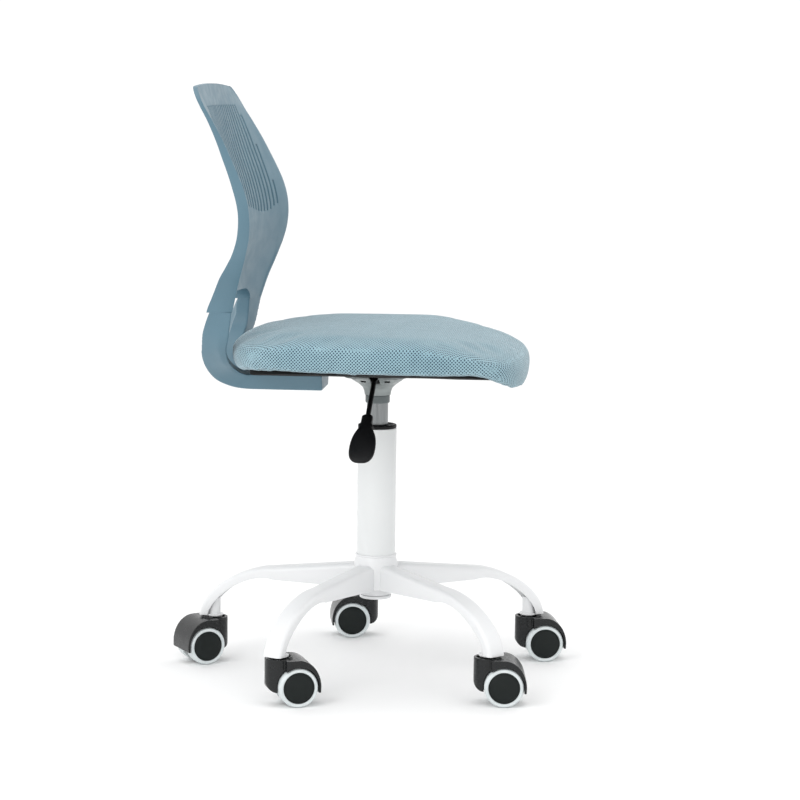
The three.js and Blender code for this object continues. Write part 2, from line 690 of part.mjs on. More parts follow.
const SHELL_TOP = 771;
const TOP_CORNER = 34;              // radius of the upper corners
const TOP_CROWN = 3.5;              // rise of the upper edge towards its middle

function shellHalfWidth(z) {
  const corner = THREE.MathUtils.clamp((z - (SHELL_TOP - TOP_CORNER)) / TOP_CORNER, 0, 1);
  const base = halfWidthAt(Math.min(z, 735));
  return base - TOP_CORNER * (1 - Math.sqrt(1 - corner * corner));
}

function shellFront(x, z) {
  const edge = edgeFrontAt(z);
  const share = Math.min(Math.abs(x) / halfWidthAt(Math.min(z, 735)), 1);
  return edge + (middleFrontAt(z) - edge) * (1 - share ** 2);
}

// Rear face of the sheet; beside the opening it drops back to form the struts.
function shellRear(x, z) {
  const sheet = shellFront(x, z) + SHELL_SHEET;
  const flange = edgeFrontAt(z) + flangeDepthAt(z);
  const wedge = (1 - smoothstep(z, 490, 540)) * smoothstep(Math.abs(x), 58, STRUT_INNER - 8);
  return sheet + Math.max(flange - sheet, 0) * wedge;
}

// One row of the shell from side to side, ending in a flange turned back at each edge.
function shellRow(z) {
  const half = shellHalfWidth(z);
  const lip = edgeFrontAt(z) + flangeDepthAt(z);
  const flare = flangeDepthAt(z) * (0.06 + 0.19 * smoothstep(z, 500, 560));
  const crownDrop = TOP_CROWN * THREE.MathUtils.clamp((z - 724) / (SHELL_TOP - 724), 0, 1);
  const point = (x, front, rear) => (
    { x, z: z - crownDrop * Math.min(x / half, 1) ** 2, front, rear }
  );
  const side = [
    point(half + flare, lip - 2, lip),
    point(half, edgeFrontAt(z), lip),
    point(half - 3.4, shellFront(half - 3.4, z), lip),
    point(half - 5.2, shellFront(half - 5.2, z), Math.min(shellRear(half - 5.2, z), lip)),
  ];
  const middle = [0.85, 0.68, 0.45, 0.2, 0, -0.2, -0.45, -0.68, -0.85].map((share) => (
    point(share * half, shellFront(share * half, z), shellRear(share * half, z))
  ));
  const mirrored = side.map((p) => ({ ...p, x: -p.x })).reverse();
  return [...side, ...middle, ...mirrored].reverse();
}

// Front and rear skins over a grid, stitched round the border.
function shellBlank() {
  const heights = [
    BACK_SPLIT, 492, 500, 512, 526, 542, 562, 590, 625, 660, 695, 720, 737, 748, 757, 764, 768.5,
    SHELL_TOP,
  ];
  const rows = heights.map(shellRow);
  const positions = [];
  rows.flat().forEach((p) => positions.push(p.x, p.front, p.z));
  rows.flat().forEach((p) => positions.push(p.x, p.rear, p.z));
  const columns = rows[0].length;
  const offset = rows.length * columns;
  const index = [];
  const quad = (a, b, c, d) => index.push(a, b, c, a, c, d);
  for (let r = 0; r < rows.length - 1; r += 1) {
    for (let c = 0; c < columns - 1; c += 1) {
      const a = r * columns + c;
      quad(a, a + 1, a + columns + 1, a + columns);
      quad(offset + a, offset + a + columns, offset + a + columns + 1, offset + a + 1);
    }
    const left = r * columns;
    const right = left + columns - 1;
    quad(left, left + columns, offset + left + columns, offset + left);
    quad(right, offset + right, offset + right + columns, right + columns);
  }
  const top = (rows.length - 1) * columns;
  for (let c = 0; c < columns - 1; c += 1) {
    quad(c, offset + c, offset + c + 1, c + 1);
    quad(top + c, top + c + 1, offset + top + c + 1, offset + top + c);
  }
  const geometry = new THREE.BufferGeometry();
  geometry.setAttribute('position', new THREE.Float32BufferAttribute(positions, 3));
  geometry.setIndex(index);
  return closedMesh(geometry);
}

// Slots end level at the top; the outer ones are shorter, leaving a solid border.
function slotEnds(x) {
  const beyond = Math.max(0, (Math.abs(x) - 118) / 34);
  const top = 744 - 110 * beyond ** 1.3;
  const bottom = 610 - 9 * smoothstep(Math.abs(x), 20, 90) + 8 * smoothstep(Math.abs(x), 115, 150);
  return [bottom, top];
}

function shellGeometry() {
  const cutters = [];
  for (let i = -SLOTS_EACH_SIDE; i <= SLOTS_EACH_SIDE; i += 1) {
    const x = i * SLOT_PITCH;
    const [bottom, top] = slotEnds(x);
    cutters.push(box(x - SLOT_WIDTH / 2, x + SLOT_WIDTH / 2, 120, 270, bottom, top));
  }
  const corner = 15;
  const opening = slabAcrossY([
    [-STRUT_INNER, BACK_SPLIT - 5], [STRUT_INNER, BACK_SPLIT - 5],
    ...arc(STRUT_INNER - corner, WINDOW_TOP - corner, corner, corner, 0, 90, 3),
    ...arc(-STRUT_INNER + corner, WINDOW_TOP - corner, corner, corner, 90, 180, 3),
  ], 120, 270);
  return cut(shellBlank(), opening, ...cutters);
}

// The arm is swept down the struts, round the bend and forward under the seat.
// Each station gives y and z of the outer and inner lines, the half width, the half width of
// the opening, how far the sides lean forward, and the rear corner as a share of the width.
function armStations() {
  const tongue = { half: TONGUE_HALF, hole: 0, lean: 0, corner: 0.8 };
  return [
    { outer: [202.6, 484.2], inner: [185.5, 484.2], half: 130, hole: 88, lean: 11.5, corner: 0.96 },
    { outer: [209, 470], inner: [187, 470], half: 126, hole: 88, lean: 9.5, corner: 0.95 },
    { outer: [216.3, 450], inner: [188.5, 450], half: 120, hole: 84, lean: 8.5, corner: 0.9 },
    { outer: [219.8, 430], inner: [191.5, 432], half: 106, hole: 66, lean: 8, corner: 0.85 },
    { outer: [218, 409], inner: [188, 415], half: 84, hole: 34, lean: 5, corner: 0.82 },
    { outer: [208, 391], inner: [181, 403.5], half: 62, hole: 0, lean: 3, corner: 0.8 },
    { outer: [191.5, 381.3], inner: [169, 397.3], half: 50, hole: 0, lean: 1, corner: 0.8 },
    { outer: [172, 377], inner: [158, 397.4], ...tongue, half: 44 },
    { outer: [140, 376.3], inner: [140, 397.4], ...tongue },
    { outer: [TONGUE_FRONT, 376.3], inner: [TONGUE_FRONT, 397.4], ...tongue },
  ];
}

// Cross-section of the whole arm at a station: front face dished, rear corners bevelled.
function armGeometry() {
  const shares = [-1, -0.8, -0.4, 0, 0.4, 0.8, 1];
  const loops = [];
  const flats = [];
  for (const { outer, inner, half, lean, corner } of armStations()) {
    const flat = [
      ...shares.map((share) => [share * half, -lean * Math.max(0, Math.abs(share) - 0.6) / 0.4]),
      [half * 0.995, 2], [half * corner, 27], [half * 0.4, 28], [-half * 0.4, 28],
      [-half * corner, 27], [-half * 0.995, 2],
    ];
    const depthX = outer[0] - inner[0];
    const depthZ = outer[1] - inner[1];
    flats.push(flat.map(([x, d]) => new THREE.Vector2(x, d)));
    loops.push(flat.map(([x, d]) => new THREE.Vector3(
      x, inner[0] + (depthX * Math.max(d, 0)) / 28 + Math.min(d, 0), inner[1] + (depthZ * d) / 28,
    )));
  }
  const opening = [];
  const holes = armStations().filter(({ hole }) => hole > 0);
  holes.forEach(({ outer, hole }) => opening.push([hole, outer[1]]));
  opening.push([0, 398]);
  holes.reverse().forEach(({ outer, hole }) => opening.push([-hole, outer[1]]));
  opening.unshift([STRUT_INNER, 495]);
  opening.push([-STRUT_INNER, 495]);
  return cut(loft(loops, flats), slabAcrossY(opening, 150, 260));
}

function addBack() {
  addPart(chair, 'back_shell', shellGeometry(), MATERIALS.bluePlastic);
  addPart(chair, 'back_arm', armGeometry(), MATERIALS.bluePlastic);
}

addBase();
addGasLift();
addSeat();
addBack();

export default chair;
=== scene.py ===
"""Swivel office chair: fine meshes, materials, cushion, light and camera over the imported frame.

Lengths here are millimetres in the frame's own axes and become metres when a mesh is made.
+Z is up, the sitter faces -Y, and -X is the sitter's right, where the height lever is.
"""
import math

import bmesh
import bpy
import numpy as np
from mathutils import Matrix, Vector, noise


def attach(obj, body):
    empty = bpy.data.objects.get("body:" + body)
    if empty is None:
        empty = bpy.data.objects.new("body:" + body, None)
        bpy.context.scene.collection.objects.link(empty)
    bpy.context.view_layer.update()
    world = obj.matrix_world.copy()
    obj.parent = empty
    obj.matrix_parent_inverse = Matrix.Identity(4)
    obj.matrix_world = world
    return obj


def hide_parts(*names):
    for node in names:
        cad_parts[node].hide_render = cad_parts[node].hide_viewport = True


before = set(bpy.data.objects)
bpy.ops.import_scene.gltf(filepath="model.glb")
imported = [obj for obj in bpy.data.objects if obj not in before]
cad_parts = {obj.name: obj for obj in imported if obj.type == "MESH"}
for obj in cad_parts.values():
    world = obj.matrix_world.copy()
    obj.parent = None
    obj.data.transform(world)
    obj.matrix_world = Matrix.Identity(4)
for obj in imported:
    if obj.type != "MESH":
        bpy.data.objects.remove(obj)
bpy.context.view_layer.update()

MM = 0.001

# ---- dimensions

# casters: leg angle and trail direction in degrees
CASTERS = [(9.1, 100.1), (81.1, 122.6), (153.1, -68.9), (225.1, -84.9), (297.1, -79.2)]
STEM_CIRCLE = 223.5
TRAIL = 20
WHEEL_RADIUS = 25
HUB_CAP_RADIUS = 19.8
HOOD_TOP = 60
HOOD_BOTTOM = 18.3
HOOD_BARREL = 18
HOOD_REACH = 28.5
HOOD_HALF_WIDTH = 27

LEG_WIDTH = 27
LEG_WALL = 2
LEG_END = 62.8
# edges of a leg as (radius, height): straight to the second point, then a curve to the open end
LEG_UPPER = [(24, 146), (140, 133.5), (175, 131.5), (236, 106), (242, LEG_END)]
LEG_LOWER = [(24, 113), (138, 116.5), (173, 127), (226.5, 87), (229, LEG_END)]

COLUMN_RADIUS = 25.5
COLUMN_BOTTOM = 115.3
COLUMN_TOP = 326
COLUMN_CAP_TOP = 330.5
CYLINDER_RADIUS = 14
CYLINDER_BOTTOM = 146
CYLINDER_TOP = 385.5

PLATE_BOTTOM = 369.5
PLATE_TOP = 397.7
LEVER_HEIGHT = 394
LEVER_BEND_X = -46
LEVER_SLOPE = 0.47
PADDLE_START_X = -128
PLATE_SCREW_HEIGHT = 393.4

SEAT_FRONT = -198.5
SEAT_REAR = 186.5
SEAT_HALF_WIDTH = 199
SEAT_TAPER = 0.055
SEAT_CROWN = 465
PAN_UNDERSIDE = 398
PAN_THICKNESS = 8
FABRIC_INSET = 3.0
FABRIC_CAP = 6.0
CLOTH_SHARE = (0.15, 0.15, 0.5)
CLOTH_FRAMES = 20
PAD_VOXEL = 5

BACK_SPLIT = 484.5
SHELL_TOP = 771
SHELL_SHEET = 5
SHELL_CORNER = 34
TOP_CROWN = 3.5
CROWN_START = 724
FLANKS_TOP = 735
SLOT_PITCH = 12.5
SLOT_WIDTH = 5
SLOTS_EACH_SIDE = 12
WINDOW_TOP = 500
WINDOW_CORNER_X = 24
WINDOW_CORNER_Z = 15
STRUT_INNER = 88
ARM_THICKNESS = 28
ARM_SCREWS = [(-22, 92), (22, 92), (0, 136)]
ARM_SCREW_HEIGHT = 376.2
ARM_WASHER_HEIGHT = 379.6
ARM_POCKET_TOP = 380.5

# camera and light: degrees, metres and watts
CAMERA_YAW = 5.0
CAMERA_PITCH = 7.14
CAMERA_ROLL = 0.7
CAMERA_LENS = 113.8
CAMERA_PLACE = (-3.2721, -0.3157, 0.7741)
LAMP_SIZE = 1.6
LAMP_AIM = Vector((0, 0, 0.4))
WORLD_STRENGTH = 1.08
FLOOR_REACH = 150.0

# ---- curves


def smoothstep(value, start, end):
    t = min(max((value - start) / (end - start), 0.0), 1.0)
    return t * t * (3 - 2 * t)


def curve_through(pairs):
    """Reads a smooth curve through (x, y) pairs with rising x."""
    last = len(pairs) - 1
    slopes = []
    for i in range(len(pairs)):
        before = pairs[max(i - 1, 0)]
        after = pairs[min(i + 1, last)]
        slopes.append((after[1] - before[1]) / (after[0] - before[0]))

    def read(x):
        i = 0
        while i < last - 1 and x > pairs[i + 1][0]:
            i += 1
        (x0, y0), (x1, y1) = pairs[i], pairs[i + 1]
        span = x1 - x0
        t = min(max((x - x0) / span, 0.0), 1.0)
        level = (1 + 2 * t) * (1 - t) ** 2 * y0 + t * t * (3 - 2 * t) * y1
        return level + span * (t * (1 - t) ** 2 * slopes[i] - t * t * (1 - t) * slopes[i + 1])

    return read


def rounded(profile, radius, closed=False, steps=4):
    """The outline with each corner turned into a small arc."""
    points = []
    for i, here in enumerate(profile):
        if not closed and i in (0, len(profile) - 1):
            points.append(tuple(here))
            continue
        corner = Vector(here)
        back = Vector(profile[i - 1]) - corner
        ahead = Vector(profile[(i + 1) % len(profile)]) - corner
        reach = min(radius, back.length * 0.45, ahead.length * 0.45)
        start = corner + back.normalized() * reach
        end = corner + ahead.normalized() * reach
        for step in range(steps + 1):
            t = step / steps
            points.append(tuple(start * (1 - t) ** 2 + corner * 2 * t * (1 - t) + end * t * t))
    return points


def arc(cx, cz, rx, rz, start, end, steps):
    points = []
    for i in range(steps + 1):
        angle = math.radians(start + (end - start) * i / steps)
        points.append((cx + rx * math.cos(angle), cz + rz * math.sin(angle)))
    return points


def squared_off(value, power):
    """A sine or cosine bent so that the loop it draws is a rounded rectangle."""
    return math.copysign(abs(value) ** (2 / power), value)


def superloop(half_x, half_y, power, count):
    """Points of a rounded rectangle; power 2 is an ellipse and more is squarer."""
    points = []
    for i in range(count):
        angle = 2 * math.pi * i / count
        x = half_x * squared_off(math.cos(angle), power)
        points.append((x, half_y * squared_off(math.sin(angle), power)))
    return points


# ---- meshes


def make_mesh(name, points, faces):
    """A welded mesh with its faces turned outward, from millimetre points."""
    mesh = bpy.data.meshes.new(name)
    mesh.from_pydata([(x * MM, y * MM, z * MM) for x, y, z in points], [], faces)
    work = bmesh.new()
    work.from_mesh(mesh)
    bmesh.ops.remove_doubles(work, verts=work.verts, dist=1e-6)
    bmesh.ops.recalc_face_normals(work, faces=work.faces)
    work.to_mesh(mesh)
    work.free()
    return mesh


def ring_faces(rows, count, closed=False):
    """Quads between stacked loops, and from the last back to the first if closed."""
    faces = []
    for row in range(rows if closed else rows - 1):
        a, b = row * count, (row + 1) % rows * count
        for i in range(count):
            j = (i + 1) % count
            faces.append((a + i, a + j, b + j, b + i))
    return faces


def lathe(name, profile, segments, closed=False):
    """A profile of (radius, height) points turned round Z."""
    points = []
    for radius, height in profile:
        for i in range(segments):
            angle = 2 * math.pi * i / segments
            points.append((radius * math.cos(angle), radius * math.sin(angle), height))
    return make_mesh(name, points, ring_faces(len(profile), segments, closed))


def ring(name, profile, radius, segments):
    """A turned sleeve whose profile closes on itself, with softened edges."""
    return lathe(name, rounded(profile, radius, closed=True), segments, closed=True)


def rod(name, radius, low, high, segments):
    """A plain upright cylinder."""
    return lathe(name, [(0, low), (radius, low), (radius, high), (0, high)], segments)


def loft(name, loops):
    """Skins equal-length closed loops and caps both ends."""
    count = len(loops[0])
    points = [point for loop in loops for point in loop]
    last = (len(loops) - 1) * count
    ends = [tuple(range(count)), tuple(range(last, last + count))]
    return make_mesh(name, points, ring_faces(len(loops), count) + ends)


def slab(name, outline, y0, y1):
    """An outline in the XZ plane pulled from y0 to y1."""
    return loft(name, [[(x, y, z) for x, z in outline] for y in (y0, y1)])


def box(name, x0, x1, y0, y1, z0, z1):
    return slab(name, [(x0, z0), (x1, z0), (x1, z1), (x0, z1)], y0, y1)


def moved(mesh, matrix):
    """The mesh moved by a matrix whose shift is in millimetres."""
    scaled = matrix.copy()
    scaled.translation *= MM
    mesh.transform(scaled)
    return mesh


def linked(name, data):
    """A new object in the scene that shows the data."""
    thing = bpy.data.objects.new(name, data)
    bpy.context.scene.collection.objects.link(thing)
    return thing


def with_modifiers(mesh, *modifiers):
    """The mesh after a stack of (type, settings) modifiers."""
    carrier = linked("carrier", mesh)
    for kind, settings in modifiers:
        modifier = carrier.modifiers.new(kind.lower(), kind)
        for key, value in settings.items():
            setattr(modifier, key, value)
    graph = bpy.context.evaluated_depsgraph_get()
    result = bpy.data.meshes.new_from_object(carrier.evaluated_get(graph))
    bpy.data.objects.remove(carrier)
    return result


def combine(mesh, *others, operation="DIFFERENCE"):
    """Cuts, joins or intersects the mesh with others, one after another."""
    for other in others:
        tool = linked("tool", other)
        settings = {"object": tool, "operation": operation, "solver": "EXACT"}
        mesh = with_modifiers(mesh, ("BOOLEAN", settings))
        bpy.data.objects.remove(tool)
    return mesh


def bevelled(mesh, width, segments=2, angle=40):
    settings = {"width": width * MM, "segments": segments, "limit_method": "ANGLE"}
    settings["angle_limit"] = math.radians(angle)
    return with_modifiers(mesh, ("BEVEL", settings))


def remesh(voxel):
    return "REMESH", {"mode": "VOXEL", "voxel_size": voxel * MM}


def smooth(passes):
    return "SMOOTH", {"factor": 0.5, "iterations": passes}


def moulded(mesh, voxel, passes):
    """Softens every edge, the way a moulding's edges run into each other."""
    return with_modifiers(mesh, remesh(voxel), smooth(passes))


def shifted(x, y, z):
    """A shift in millimetres, as the matrix of an object in metres."""
    return Matrix.Translation((x * MM, y * MM, z * MM))


def rotated(degrees, axis="Z"):
    return Matrix.Rotation(math.radians(degrees), 4, axis)


def place(name, mesh, material, body, stands_for=(), at=None, angle=35):
    """Adds the mesh as a piece that rides on a body."""
    mesh.materials.clear()
    mesh.materials.append(material)
    mesh.polygons.foreach_set("material_index", [0] * len(mesh.polygons))
    mesh.polygons.foreach_set("use_smooth", [True] * len(mesh.polygons))
    mesh.set_sharp_from_angle(angle=math.radians(angle))
    piece = linked(name, mesh)
    if at is not None:
        piece.matrix_world = at
    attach(piece, body)
    if stands_for:
        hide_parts(*stands_for)
    return piece


def paint_node(node, material):
    """Gives a carried-over CAD node its material."""
    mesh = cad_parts[node].data
    mesh.materials.clear()
    mesh.materials.append(material)


# ---- materials


def srgb(red, green, blue):
    """Scene-linear colour of 0-255 screen values."""
    linear = []
    for value in (red, green, blue):
        v = value / 255
        linear.append(v / 12.92 if v <= 0.04045 else ((v + 0.055) / 1.055) ** 2.4)
    return (*linear, 1.0)


def shaded(colour, factor):
    return (*(factor * v for v in colour[:3]), 1.0)


class Surface:
    """A material being built, with short calls for the nodes it needs."""

    def __init__(self, name, **shader_values):
        self.material = bpy.data.materials.new(name)
        self.material.use_nodes = True
        self.tree = self.material.node_tree
        self.shader = self.tree.nodes["Principled BSDF"]
        for socket, value in shader_values.items():
            self.shader.inputs[socket.replace("_", " ")].default_value = value
        coordinates = self.tree.nodes.new("ShaderNodeTexCoord")
        self.place = coordinates.outputs["Object"]
        self.normal = coordinates.outputs["Normal"]

    def feed(self, socket, value):
        if isinstance(value, bpy.types.NodeSocket):
            self.tree.links.new(value, socket)
        else:
            socket.default_value = value

    def add(self, kind, inputs, **settings):
        """Adds a node, feeds its inputs by name or number, and returns its outputs."""
        node = self.tree.nodes.new("ShaderNode" + kind)
        for key, value in settings.items():
            setattr(node, key, value)
        for socket, value in inputs.items():
            self.feed(node.inputs[socket], value)
        return node.outputs

    def math(self, operation, a, b=0.0):
        return self.add("Math", {0: a, 1: b}, operation=operation)[0]

    def split(self, vector):
        return self.add("SeparateXYZ", {0: vector})

    def stretch(self, scale):
        return self.add("Mapping", {"Scale": scale, "Vector": self.place})[0]

    def noise(self, scale, detail=3.0, roughness=0.5, where=None):
        inputs = {"Scale": scale, "Detail": detail, "Roughness": roughness}
        inputs["Vector"] = self.place if where is None else where
        return self.add("TexNoise", inputs)["Fac"]

    def fit(self, value, low, high, to_low=0.0, to_high=1.0):
        inputs = {"Value": value, "From Min": low, "From Max": high}
        inputs.update({"To Min": to_low, "To Max": to_high})
        return self.add("MapRange", inputs, interpolation_type="SMOOTHSTEP")[0]

    def mix(self, factor, first, second):
        return self.add("Mix", {"Factor": factor, 6: first, 7: second}, data_type="RGBA")[2]

    def bump(self, height, distance, strength=1.0, under=None):
        inputs = {"Strength": strength, "Distance": distance * MM, "Height": height}
        if under is not None:
            inputs["Normal"] = under
        return self.add("Bump", inputs)[0]

    def finish(self, colour, roughness=None, normal=None):
        self.feed(self.shader.inputs["Base Color"], colour)
        if roughness is not None:
            self.feed(self.shader.inputs["Roughness"], roughness)
        if normal is not None:
            self.feed(self.shader.inputs["Normal"], normal)
        return self.material


def blue_plastic():
    """Moulded polypropylene with a fine spark-eroded grain."""
    s = Surface("blue_plastic", Specular_IOR_Level=0.45)
    broad = s.noise(9, 2)
    colour = s.mix(s.fit(broad, 0.35, 0.65), srgb(82, 113, 128), srgb(88, 119, 134))
    grain = s.noise(1500, 2, 0.6)
    colour = s.mix(s.fit(grain, 0.3, 0.8, 0.0, 0.35), colour, srgb(100, 131, 145))
    rough = s.fit(s.noise(60, 3), 0.3, 0.7, 0.36, 0.46)
    soft = s.bump(s.noise(25, 2), 0.12, 0.4)
    return s.finish(colour, rough, s.bump(grain, 0.05, 0.5, soft))


def seat_fabric():
    """Spacer mesh: crossing diagonal threads over dark holes."""
    s = Surface("seat_fabric", Roughness=0.92, Sheen_Weight=0.35, Sheen_Roughness=0.45,
                Specular_IOR_Level=0.2)
    x, y, z = s.split(s.place)
    weights = [s.math("POWER", s.math("ABSOLUTE", axis), 5.0) for axis in s.split(s.normal)]
    total = s.math("ADD", s.math("ADD", weights[0], weights[1]), weights[2])
    holes = 0.0
    for (a, b), weight in zip(((y, z), (x, z), (x, y)), weights):
        waves = []
        for sign in ("ADD", "SUBTRACT"):
            turn = s.math("MULTIPLY", s.math(sign, a, b), math.pi / (4.3 * MM))
            waves.append(s.math("ABSOLUTE", s.math("SINE", turn)))
        hole = s.math("MULTIPLY", waves[0], waves[1])
        holes = s.math("ADD", s.math("MULTIPLY", hole, weight), holes)
    holes = s.math("DIVIDE", holes, total)
    wander = s.fit(s.noise(70, 2), 0.3, 0.7, -0.04, 0.04)
    mask = s.fit(s.math("ADD", holes, wander), 0.34, 0.74)
    fibre = s.noise(2600, 3, 0.7)
    thread = s.mix(s.fit(fibre, 0.3, 0.7), srgb(128, 162, 174), srgb(166, 196, 206))
    thread = s.mix(s.fit(s.noise(14, 2), 0.35, 0.65, 0.0, 0.3), thread, srgb(124, 158, 171))
    colour = s.mix(mask, thread, srgb(38, 62, 78))
    height = s.math("SUBTRACT", s.math("MULTIPLY", fibre, 0.25), mask)
    return s.finish(colour, None, s.bump(height, 0.55, 0.8))


def powder_coat(name, colour):
    """White powder coat: faint orange peel over bent steel."""
    s = Surface(name, Coat_Weight=0.25, Coat_Roughness=0.2, Specular_IOR_Level=0.5)
    peel = s.noise(420, 2, 0.4)
    tone = s.mix(s.fit(s.noise(12, 3), 0.35, 0.65, 0.0, 0.6), colour, shaded(colour, 0.965))
    rough = s.fit(s.noise(45, 3), 0.3, 0.7, 0.32, 0.42)
    return s.finish(tone, rough, s.bump(peel, 0.06, 0.35))


def black_plastic(name, colour, low, high, grain_scale, shine=0.5):
    """Black moulded plastic; roughness runs between low and high."""
    s = Surface(name, Specular_IOR_Level=shine)
    dust = s.fit(s.noise(140, 5, 0.65), 0.5, 0.8, 0.0, 0.25)
    tone = s.mix(dust, colour, shaded(colour, 1.8))
    rough = s.fit(s.noise(80, 4), 0.3, 0.7, low, high)
    return s.finish(tone, rough, s.bump(s.noise(grain_scale, 2), 0.03, 0.4))


def pale_tread():
    """Soft pale polyurethane with a lightly soiled outer edge."""
    s = Surface("pale_tread", Specular_IOR_Level=0.4)
    soil = s.fit(s.noise(90, 4), 0.4, 0.75, 0.0, 0.7)
    tone = s.mix(soil, srgb(214, 220, 221), srgb(196, 204, 205))
    rough = s.fit(s.noise(120, 3), 0.3, 0.7, 0.45, 0.6)
    return s.finish(tone, rough, s.bump(s.noise(700, 2), 0.04, 0.4))


def zinc_plate():
    """Pressed steel with a dull pale grey finish."""
    s = Surface("zinc_plate", Metallic=0.35, Specular_IOR_Level=0.5)
    tone = s.mix(s.fit(s.noise(40, 4), 0.35, 0.65), srgb(128, 135, 135), srgb(147, 153, 153))
    rough = s.fit(s.noise(110, 4), 0.3, 0.7, 0.38, 0.55)
    return s.finish(tone, rough, s.bump(s.noise(800, 3), 0.05, 0.35))


def drawn_steel(name, colour, low, high):
    """Bare steel with fine lines along its length."""
    s = Surface(name, Metallic=1.0)
    lines = s.noise(1.0, 4, 0.6, s.stretch((1600, 1600, 40)))
    tone = s.mix(s.fit(lines, 0.3, 0.7), colour, shaded(colour, 0.82))
    return s.finish(tone, s.fit(lines, 0.3, 0.7, low, high), s.bump(lines, 0.02, 0.3))


def board_cloth():
    """Black non-woven cloth stapled under the seat."""
    s = Surface("board_cloth", Roughness=0.95, Specular_IOR_Level=0.2)
    fibre = s.noise(1200, 5, 0.75)
    dimple = s.noise(300, 2)
    tone = s.mix(s.fit(fibre, 0.3, 0.7), srgb(9, 10, 11), srgb(22, 24, 25))
    height = s.math("ADD", fibre, dimple)
    return s.finish(tone, None, s.bump(height, 0.25, 0.6))


WHITE_PAINT = powder_coat("white_paint", srgb(227, 228, 229))
WHITE_COLUMN = powder_coat("white_column", srgb(222, 224, 224))
BLACK_GLOSS = black_plastic("black_gloss", srgb(22, 24, 25), 0.2, 0.32, 900, 0.34)
BLACK_MATTE = black_plastic("black_matte", srgb(11, 11, 13), 0.44, 0.58, 1400, 0.22)
WHEEL_BLACK = black_plastic("wheel_black", srgb(14, 21, 20), 0.36, 0.48, 1200, 0.25)
TREAD = pale_tread()
ZINC = zinc_plate()
COLLAR_GREY = black_plastic("collar_grey", srgb(98, 106, 107), 0.4, 0.52, 1000)
STEEL = drawn_steel("steel", srgb(142, 145, 146), 0.24, 0.38)
DARK_STEEL = drawn_steel("dark_steel", srgb(120, 124, 126), 0.3, 0.45)
BOARD = board_cloth()
FABRIC = seat_fabric()
PLASTIC = blue_plastic()

# ---- casters
# Caster meshes are drawn with the stem on Z and the wheels trailing towards +X.


def turned(mesh, axis, degrees, shift=(0, 0, 0)):
    return moved(mesh, Matrix.Translation(shift) @ rotated(degrees, axis))


def hood_mesh():
    """Cover over both wheels, with the stem's barrel in front and a web between the wheels."""
    outline = arc(-6, 30.3, 12, 12, 180, 270, 10)
    outline.append((TRAIL + HOOD_REACH - 0.4, HOOD_BOTTOM))
    outline += arc(TRAIL, WHEEL_RADIUS, HOOD_REACH, HOOD_TOP - WHEEL_RADIUS, 0, 90, 28)
    outline.append((-HOOD_BARREL, HOOD_TOP))
    side = slab("hood", outline, -HOOD_HALF_WIDTH, HOOD_HALF_WIDTH)
    barrel = rod("barrel", HOOD_BARREL, 0, 70, 64)
    cover = box("cover", 4, 60, -HOOD_HALF_WIDTH, HOOD_HALF_WIDTH, 0, 70)
    plan = combine(barrel, cover, operation="UNION")
    hood = combine(side, plan, operation="INTERSECT")
    wells = []
    for side_sign in (-1, 1):
        well = rod("well", WHEEL_RADIUS + 1, 7, 29, 72)
        wells.append(turned(well, "X", -90 * side_sign, (TRAIL, 0, WHEEL_RADIUS)))
    cup = rod("cup", 14.6, 56.5, 62, 48)
    hood = combine(hood, *wells, cup)
    boss = rod("boss", 10.5, 50, 59.4, 40)
    rim, bore = rod("rim", 17.6, 58, 62.1, 48), rod("bore", 15, 50, 70, 48)
    step = combine(rim, bore, box("front", -30, 9, -30, 30, 50, 70))
    hood = combine(hood, boss, step, operation="UNION")
    return moulded(hood, voxel=0.6, passes=4)


def stem_mesh():
    return lathe("caster_stem", rounded([
        (0, 50), (5.5, 50), (5.5, 59.6), (9.2, 59.8), (9.2, 61), (6.4, 61.2), (6.4, LEG_END - 0.4),
        (5.5, LEG_END), (5.5, 78), (0, 80),
    ], 0.5), 48)


def flange_mesh():
    return ring("stem_flange", [
        (5.7, 61.2), (11.5, 61.2), (12.2, 62.2), (12.2, LEG_END + 1.2), (5.7, LEG_END + 1.2),
    ], 0.4, 48)


def core_mesh():
    """Wheel body with a domed cap and a fine groove round it."""
    return lathe("wheel_core", rounded([
        (0, 24), (3.4, 24), (3.4, 7.6), (HUB_CAP_RADIUS, 8.2), (HUB_CAP_RADIUS, 25.1),
        (18.9, 25.9), (17.9, 26), (17.5, 25.6), (17.1, 26.1), (13.5, 26.9), (8, 27.4), (3, 27.6),
        (0, 27.6),
    ], 0.5), 80)


def tread_mesh():
    inner = HUB_CAP_RADIUS + 0.15
    return ring("wheel_tread", [
        (inner, 8.4), (WHEEL_RADIUS - 0.8, 8.4), (WHEEL_RADIUS, 9.4), (WHEEL_RADIUS, 16.8),
        (WHEEL_RADIUS - 0.5, 17.2), (WHEEL_RADIUS, 17.6), (WHEEL_RADIUS, 23), (23.8, 25.6),
        (22.6, 26.2), (21.2, 26.2), (20.9, 25.7), (20.6, 26), (inner, 25.6),
    ], 0.9, 88)


